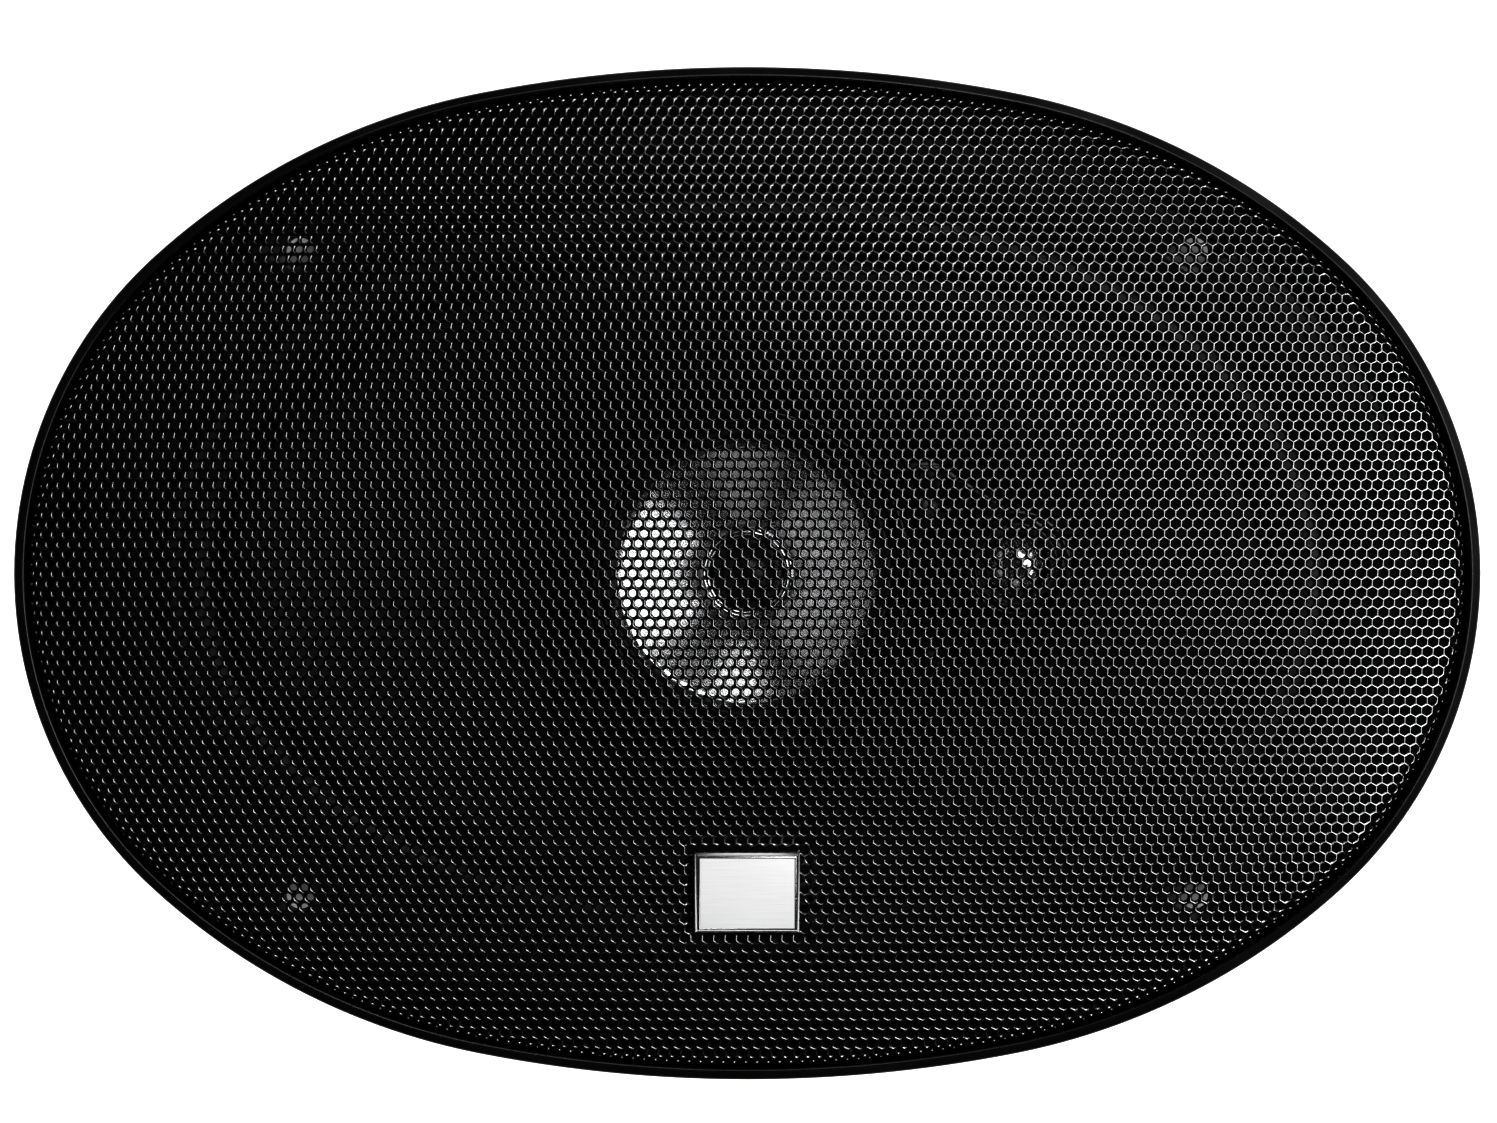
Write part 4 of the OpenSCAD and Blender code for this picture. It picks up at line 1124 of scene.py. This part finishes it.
# %% Voice coil, shield and spider
FORMER_T, WINDING_T = 0.3, 0.6
POST_GAP = 0.8
WAVES, WAVE_H, WAVE_IN, WAVE_OUT = 5, 1.5, 19.0, 44.0
CLOTH, WAVE_STEPS = 0.6, 100


def tube_of(node, thickness):
    """Section of a tube that fills a CAD node's box."""
    low, high = box(node)
    bore = high.x - thickness
    return [(bore, low.z), (high.x, low.z), (high.x, high.z), (bore, high.z)]


finish_piece(turned(tube_of("coil_former", FORMER_T)), "former", polyimide, "film", "woofer",
             "coil_former")
finish_piece(turned(tube_of("coil_winding", WINDING_T), 0.12), "winding", enamel_wire, "copper",
             "woofer", "coil_winding")
shield_w = box("dust_shield")[1].x - box("pod_post")[1].x - POST_GAP
finish_piece(turned(tube_of("dust_shield", shield_w), 0.2), "shield", shield_cloth, "black_cloth",
             "woofer", "dust_shield")

spider_high = box("spider")[1]
ways = [i / WAVE_STEPS for i in range(WAVE_STEPS + 1)]
line = [(WAVE_IN + (WAVE_OUT - WAVE_IN) * way, WAVE_H * math.sin(math.tau * WAVES * way))
        for way in ways]
line = [(former_high.x + 0.1, 0)] + line + [(spider_high.x, 0)]
section = [(r, shelf_z + h) for r, h in line]
section += [(r, shelf_z + h + CLOTH) for r, h in reversed(line)]
piece = finish_piece(turned(section), "spider_disc", spider_cloth, "spider_cloth", None, "spider")
flexing(piece, lambda x, y: (WAVE_OUT - np.hypot(x, y)) / (WAVE_OUT - WAVE_IN))

# %% [markdown]
# ## The motor
#
# From the back: the yoke with its pole, the ferrite ring and the top plate. All three are turned.
# The ferrite is ground flat and then tumbled, so its edges are broken by half a millimetre; the
# plates get a small chamfer. The screw in the middle holds the post of the small speakers.

# %% Motor
MAGNET_IN, GAP_R = 22.0, 16.3

magnet_w = box("magnet_ring")[1].x - MAGNET_IN
plate_w = box("top_plate")[1].x - GAP_R
finish_piece(turned(tube_of("magnet_ring", magnet_w), 0.6), "ferrite_ring", ferrite, "ferrite",
             "frame", "magnet_ring")
finish_piece(turned(tube_of("top_plate", plate_w), 0.4), "front_plate", zinc, "plated_steel",
             "frame", "top_plate")
for node, name, ease in (
        ("back_yoke", "yoke", 0.3),
        ("frame_rivets", "plate_rivets", 0.3),
        ("post_screw", "post_bolt", 0.15)):
    finish_piece(copied(node, ease), name, zinc, "plated_steel", "frame", node)
finish_piece(copied("pod_post", 0.2), "post", satin_plastic, "black_plastic", "frame", "pod_post")

# %% [markdown]
# ## Terminals and crossover
#
# The board is paper laminate, the blades are tinned brass, and two capacitors are glued to its
# face. Their wires run to the rivets, and two braided leads climb from the blades to the cone.

# %% Terminals
for node, name, finish, slot, ease in (
        ("terminal_bracket", "board_bracket", painted_light_black_paint, "black_steel", 0.2),
        ("terminal_board", "board_plate", phenolic, "fibre_board", 0.12),
        ("positive_blade", "wide_blade", tinned, "tinned_brass", 0.1),
        ("negative_blade", "narrow_blade", tinned, "tinned_brass", 0.1),
        ("terminal_rivets", "blade_rivets", tinned, "tinned_brass", 0.12),
        ("board_rivets", "bracket_rivets", zinc, "plated_steel", 0.12)):
    finish_piece(copied(node, ease), name, finish, slot, "frame", node)

CAPACITOR_R = 3.5
CAPACITOR_X = 17.0
WIRE_R = 0.3

can_low, can_high = box("crossover_capacitors")
can_y = can_low.y + CAPACITOR_R
foot = [(0, 0), (CAPACITOR_R - 0.9, 0), (CAPACITOR_R - 0.6, 0.5), (CAPACITOR_R - 0.05, 0.8)]
can = [(r, can_low.z + h) for r, h in foot] + [(r, can_high.z - h) for r, h in reversed(foot)]
cans = [turned(can, 0.2, closed=False, steps=48, centre=(way * CAPACITOR_X, can_y))
        for way in (-1, 1)]
finish_piece(gathered(cans), "capacitors", sleeve, "capacitor_film", "frame",
             "crossover_capacitors")


def wire(route, radius, sides=10, steps=12):
    """Round wire along a smooth curve through the points, in millimetres."""
    curve = bpy.data.curves.new("wire", "CURVE")
    curve.dimensions = "3D"
    curve.resolution_u, curve.bevel_resolution = steps, sides // 2 - 2
    curve.bevel_depth, curve.use_fill_caps = radius * MM, True
    spline = curve.splines.new("BEZIER")
    spline.bezier_points.add(len(route) - 1)
    for knot, spot in zip(spline.bezier_points, route):
        knot.co = Vector(spot) * MM
        knot.handle_left_type = knot.handle_right_type = "AUTO"
    holder = bpy.data.objects.new("wire", curve)
    bench = bmesh.new()
    bench.from_mesh(holder.to_mesh())
    bpy.data.objects.remove(holder)
    bpy.data.curves.remove(curve)
    bmesh.ops.remove_doubles(bench, verts=bench.verts, dist=0.001 * MM)
    bmesh.ops.recalc_face_normals(bench, faces=bench.faces)
    return bench


blade_low, blade_high = box("positive_blade")
rivet_z = sum(box("terminal_rivets")[i].z for i in (0, 1)) / 2
board_y = blade_high.y
top, bottom = can_high.z, can_low.z
to_rivet = [(CAPACITOR_X, can_y, bottom + 0.5), (CAPACITOR_X, can_y + 0.4, bottom - 1.6),
            (13.5, board_y - 1.0, rivet_z - 0.6), (9.4, board_y - 1.3, rivet_z)]
to_board = [(CAPACITOR_X, can_y, top - 0.5), (CAPACITOR_X, can_y + 0.6, top + 1.4),
            (14.0, board_y - 0.5, top + 2.0), (9.0, board_y - 0.45, top + 1.0)]
wires = [wire([(way * x, y, z) for x, y, z in route], WIRE_R)
         for way in (-1, 1) for route in (to_rivet, to_board)]
finish_piece(gathered(wires), "capacitor_wires", tinned, "tinned_brass", "frame")

# %% [markdown]
# ## Braided leads
#
# Each lead leaves its blade, climbs past the shelf and meets the back of the cone. It has to
# follow the cone; here it is only baked into place and rides on neither body.

# %% Leads
LEAD_R, LEAD_STEPS = 0.6, 12
LEAD_GAP, LEAD_SHARE = 0.9, 0.55  # the lead meets the cone at this share of the way in

blade_x = (blade_low.x + blade_high.x) / 2
lip_y = crest.centres[2][1] + crest.radii[2] - ROLL_R - CONE_LIP
cone_y = -(1 - LEAD_SHARE) * lip_y - LEAD_SHARE * neck_r
cone_z = cone_high.z - (cone_high.z - neck_z) * LEAD_SHARE**FLARE - PAPER - LEAD_GAP
course = [Vector((board_y - 0.8 - LEAD_GAP, blade_high.z + LEAD_GAP)),
          Vector((board_y - 3, shelf_z + 9)),
          Vector((box("terminal_bracket")[0].y + 1, shelf_z + 16.6)), Vector((cone_y, cone_z))]


def on_course(s):
    """Point at share s of the cubic curve, as (y, z)."""
    a, b, c, d = course
    t = 1 - s
    return t**3 * a + 3 * t**2 * s * b + 3 * t * s * s * c + s**3 * d


for name, x in (("lead_minus", -blade_x), ("lead_plus", blade_x)):
    route = [(x, *on_course(i / LEAD_STEPS)) for i in range(LEAD_STEPS + 1)]
    piece = finish_piece(wire(route, LEAD_R, sides=12, steps=4), name, braid, "copper", None,
                         "tinsel_leads")
    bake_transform(piece)

# %% [markdown]
# ## The pod in front of the cone
#
# A post carries a round pod with the mid-range driver, and a small tweeter sits beside it on a
# bridge. The moulded housings keep their CAD shapes with eased edges. What is turned is turned
# here again, with finer steps, because the mirror cone shows every facet.

# %% Pod housings
for node, name, ease in (
        ("mid_housing", "pod_shell", 0.25),
        ("tweeter_housing", "tweeter_bridge", 0.3)):
    finish_piece(copied(node, ease), name, satin_plastic, "black_plastic", "frame", node)

TRIM_W, TRIM_LIP, TRIM_SLOPE = 3.4, 0.5, 0.8

trim_low, trim_high = box("mid_trim_ring")
trim_in = trim_high.x - TRIM_W
lip_r = box("mid_surround")[1].x + 0.1
lip_top = trim_low.z + TRIM_LIP
section = [(lip_r, trim_low.z), (trim_high.x, trim_low.z), (trim_high.x, trim_high.z - 0.9),
           (trim_high.x - 0.4, trim_high.z - 0.3), (trim_high.x - 1, trim_high.z),
           (trim_in + TRIM_SLOPE, trim_high.z), (trim_in, trim_high.z - TRIM_SLOPE),
           (trim_in, lip_top), (lip_r, lip_top)]
finish_piece(turned(section, 0.15), "pod_ring", satin_plastic, "black_plastic", "frame",
             "mid_trim_ring")

# %% [markdown]
# ## The mid-range driver
#
# A small rubber roll, the mirror cone, and a dark dome inside a bright ring of two low arches. The
# cone's face flares a little, which decides where the lamps show in it.

# %% Mid-range roll, cone, ring and dome
ROLL_X, ROLL_SMALL, ROLL_T, FILM_T = 23.5, 0.9, 0.3, 0.4
CONE_T, CONE_LIP_W = 0.5, 1.1
HUB_R, HUB_IN, CUP_CURVE = 7.6, 7.2, 0.85
CUP_STEPS = 32
RING_ARCH, ARCH_STEPS = math.radians(28), 8
DOME_T = 0.5

small_low, small_high = box("mid_cone")
cone_r = small_high.x - CONE_LIP_W
hub_z = small_low.z + CONE_T
top_z = small_high.z

upper = [spot for spot in half_round(ROLL_X, top_z, ROLL_SMALL, 16) if spot[1] > top_z + FILM_T]
lower = half_round(ROLL_X, top_z, ROLL_SMALL - ROLL_T, 16)
section = [(lip_r - 0.1, top_z), (lip_r - 0.1, top_z + FILM_T)] + upper
section += [(cone_r + 0.2, top_z + FILM_T), (cone_r + 0.2, top_z)] + lower[::-1]
piece = finish_piece(turned(section), "small_roll", rubber, "rubber", None, "mid_surround",
                     corner=50)
flexing(piece, lambda x, y: (ROLL_X + ROLL_SMALL - np.hypot(x, y)) / (2 * ROLL_SMALL))


def cup_height(r):
    """Height of the mirror cone's face at radius r."""
    return hub_z + (top_z - hub_z) * ((r - HUB_R) / (cone_r - HUB_R)) ** CUP_CURVE


radii = [HUB_R + (cone_r - HUB_R) * (i / CUP_STEPS) ** 1.5 for i in range(CUP_STEPS + 1)]
section = [(HUB_IN, hub_z)] + [(r, cup_height(r)) for r in radii]
section += [(small_high.x, top_z), (small_high.x, top_z - CONE_T)]
section += [(r + 0.2, cup_height(r) - CONE_T) for r in reversed(radii[1:])]
section += [(HUB_IN, hub_z - CONE_T)]
finish_piece(turned(section, steps=256), "mirror_cone", mirror_film, "mirror_film", "mid",
             "mid_cone")

ring_low, ring_high = box("mid_dome_ring")
ring_in = box("mid_dome")[1].x + 0.1
bead = (ring_high.x - ring_in) / 4
arch_r = bead / math.sin(RING_ARCH)
arch = [RING_ARCH * (1 - 2 * i / ARCH_STEPS) for i in range(ARCH_STEPS + 1)]
section = [(ring_in, ring_low.z), (ring_high.x, ring_low.z)]
for middle in (ring_high.x - bead, ring_in + bead):
    section += [(middle + arch_r * math.sin(a), ring_high.z - arch_r * (1 - math.cos(a)))
                for a in arch]
finish_piece(turned(section), "dome_ring", bright_plastic, "silver_plastic", "mid",
             "mid_dome_ring")


def dome(node, thickness, rim=0.0, sink=0.0, count=24):
    """Outer and inner curve of a cap, from the crown outwards. It leaves rim and sink of the
    node's box free round it and under it."""
    low, high = box(node)
    reach, rise = (high.x - low.x) / 2 - rim, high.z - low.z - sink
    ball = (reach**2 + rise**2) / (2 * rise)
    inner = ball - thickness
    middle = high.z - ball
    angles = [math.asin(reach / ball) * i / count for i in range(count + 1)]
    over = [(ball * math.sin(a), middle + ball * math.cos(a)) for a in angles]
    foot = over[-1][1]
    under = [(inner * math.sin(a), max(foot, middle + inner * math.cos(a))) for a in angles]
    return over, under


over, under = dome("mid_dome", DOME_T)
finish_piece(turned(over + under[::-1], closed=False), "dark_dome", dark_film, "black_film", "mid",
             "mid_dome")
for node, name, finish, slot, body in (
        ("mid_coil", "small_coil", enamel_wire, "copper", "mid"),
        ("mid_magnet_cup", "small_pot", zinc, "plated_steel", "frame"),
        ("mid_magnet", "small_magnet", zinc, "plated_steel", "frame"),
        ("mid_pole_plate", "small_pole", zinc, "plated_steel", "frame")):
    finish_piece(copied(node, 0.1), name, finish, slot, body, node)

# %% [markdown]
# ## The tweeter
#
# A bright dome no wider than a fingertip, in a black ring. It shows as one small sharp glint, so
# its skin must be a clean curve.

# %% Tweeter
for node, name, finish, slot, body in (
        ("tweeter_motor", "tweeter_pot", zinc, "plated_steel", "frame"),
        ("tweeter_ring", "tweeter_collar", satin_plastic, "black_plastic", "frame"),
        ("tweeter_coil", "tweeter_winding", enamel_wire, "copper", "tweeter")):
    finish_piece(copied(node, 0.08), name, finish, slot, body, node)

TWEETER_RIM, TWEETER_LIP, TWEETER_T = 0.6, 0.4, 0.3

lens_low, lens_high = box("tweeter_dome")
tweeter_spot = (lens_low + lens_high) / 2
over, under = dome("tweeter_dome", TWEETER_T, TWEETER_RIM, TWEETER_LIP)
reach = (lens_high.x - lens_low.x) / 2
section = over + [(reach, lens_low.z + TWEETER_LIP), (reach, lens_low.z),
                  (over[-1][0] - TWEETER_T, lens_low.z)] + under[::-1]
bench = turned(section, closed=False, centre=(tweeter_spot.x, tweeter_spot.y))
finish_piece(bench, "tweeter_lens", bright_plastic, "silver_plastic", "tweeter", "tweeter_dome")

# %% [markdown]
# ## Pod screws
#
# Two pan-head screws hold the bridge. The heads are turned and a cross is cut into each.

# %% Pod screws
HEAD_R, SHANK_R, HEAD_H, HEAD_EDGE = 2.66, 1.4, 1.3, 0.45
CROSS_SIZE = Vector((3.0, 0.55, 1.4))
CROSS_TURN = 20

screw_low, screw_high = box("pod_screws")
seat, top = screw_high.z - HEAD_H, screw_high.z
screw = [(0, screw_low.z), (SHANK_R, screw_low.z), (SHANK_R, seat), (HEAD_R, seat),
         (HEAD_R, seat + HEAD_EDGE), (HEAD_R - 0.5, top - 0.25), (HEAD_R - 1.4, top), (0, top)]
screws, crosses = [], []
for way in (-1, 1):
    spot = ((screw_low.x + screw_high.x) / 2, way * (screw_high.y - HEAD_R))
    screws.append(turned(screw, 0.12, closed=False, steps=40, centre=spot))
    for turn in (CROSS_TURN, CROSS_TURN + 90):
        blade = bmesh.new()
        bmesh.ops.create_cube(blade, size=1)
        bmesh.ops.scale(blade, verts=blade.verts, vec=CROSS_SIZE * MM)
        way_round = Matrix.Rotation(math.radians(turn), 3, "Z")
        bmesh.ops.rotate(blade, verts=blade.verts, matrix=way_round)
        bmesh.ops.translate(blade, verts=blade.verts, vec=Vector((*spot, top)) * MM)
        crosses.append(blade)
heads = carved(gathered(screws), gathered(crosses[::2]))
finish_piece(carved(heads, gathered(crosses[1::2])), "bridge_screws", black_zinc, "plated_steel",
             "frame", "pod_screws")
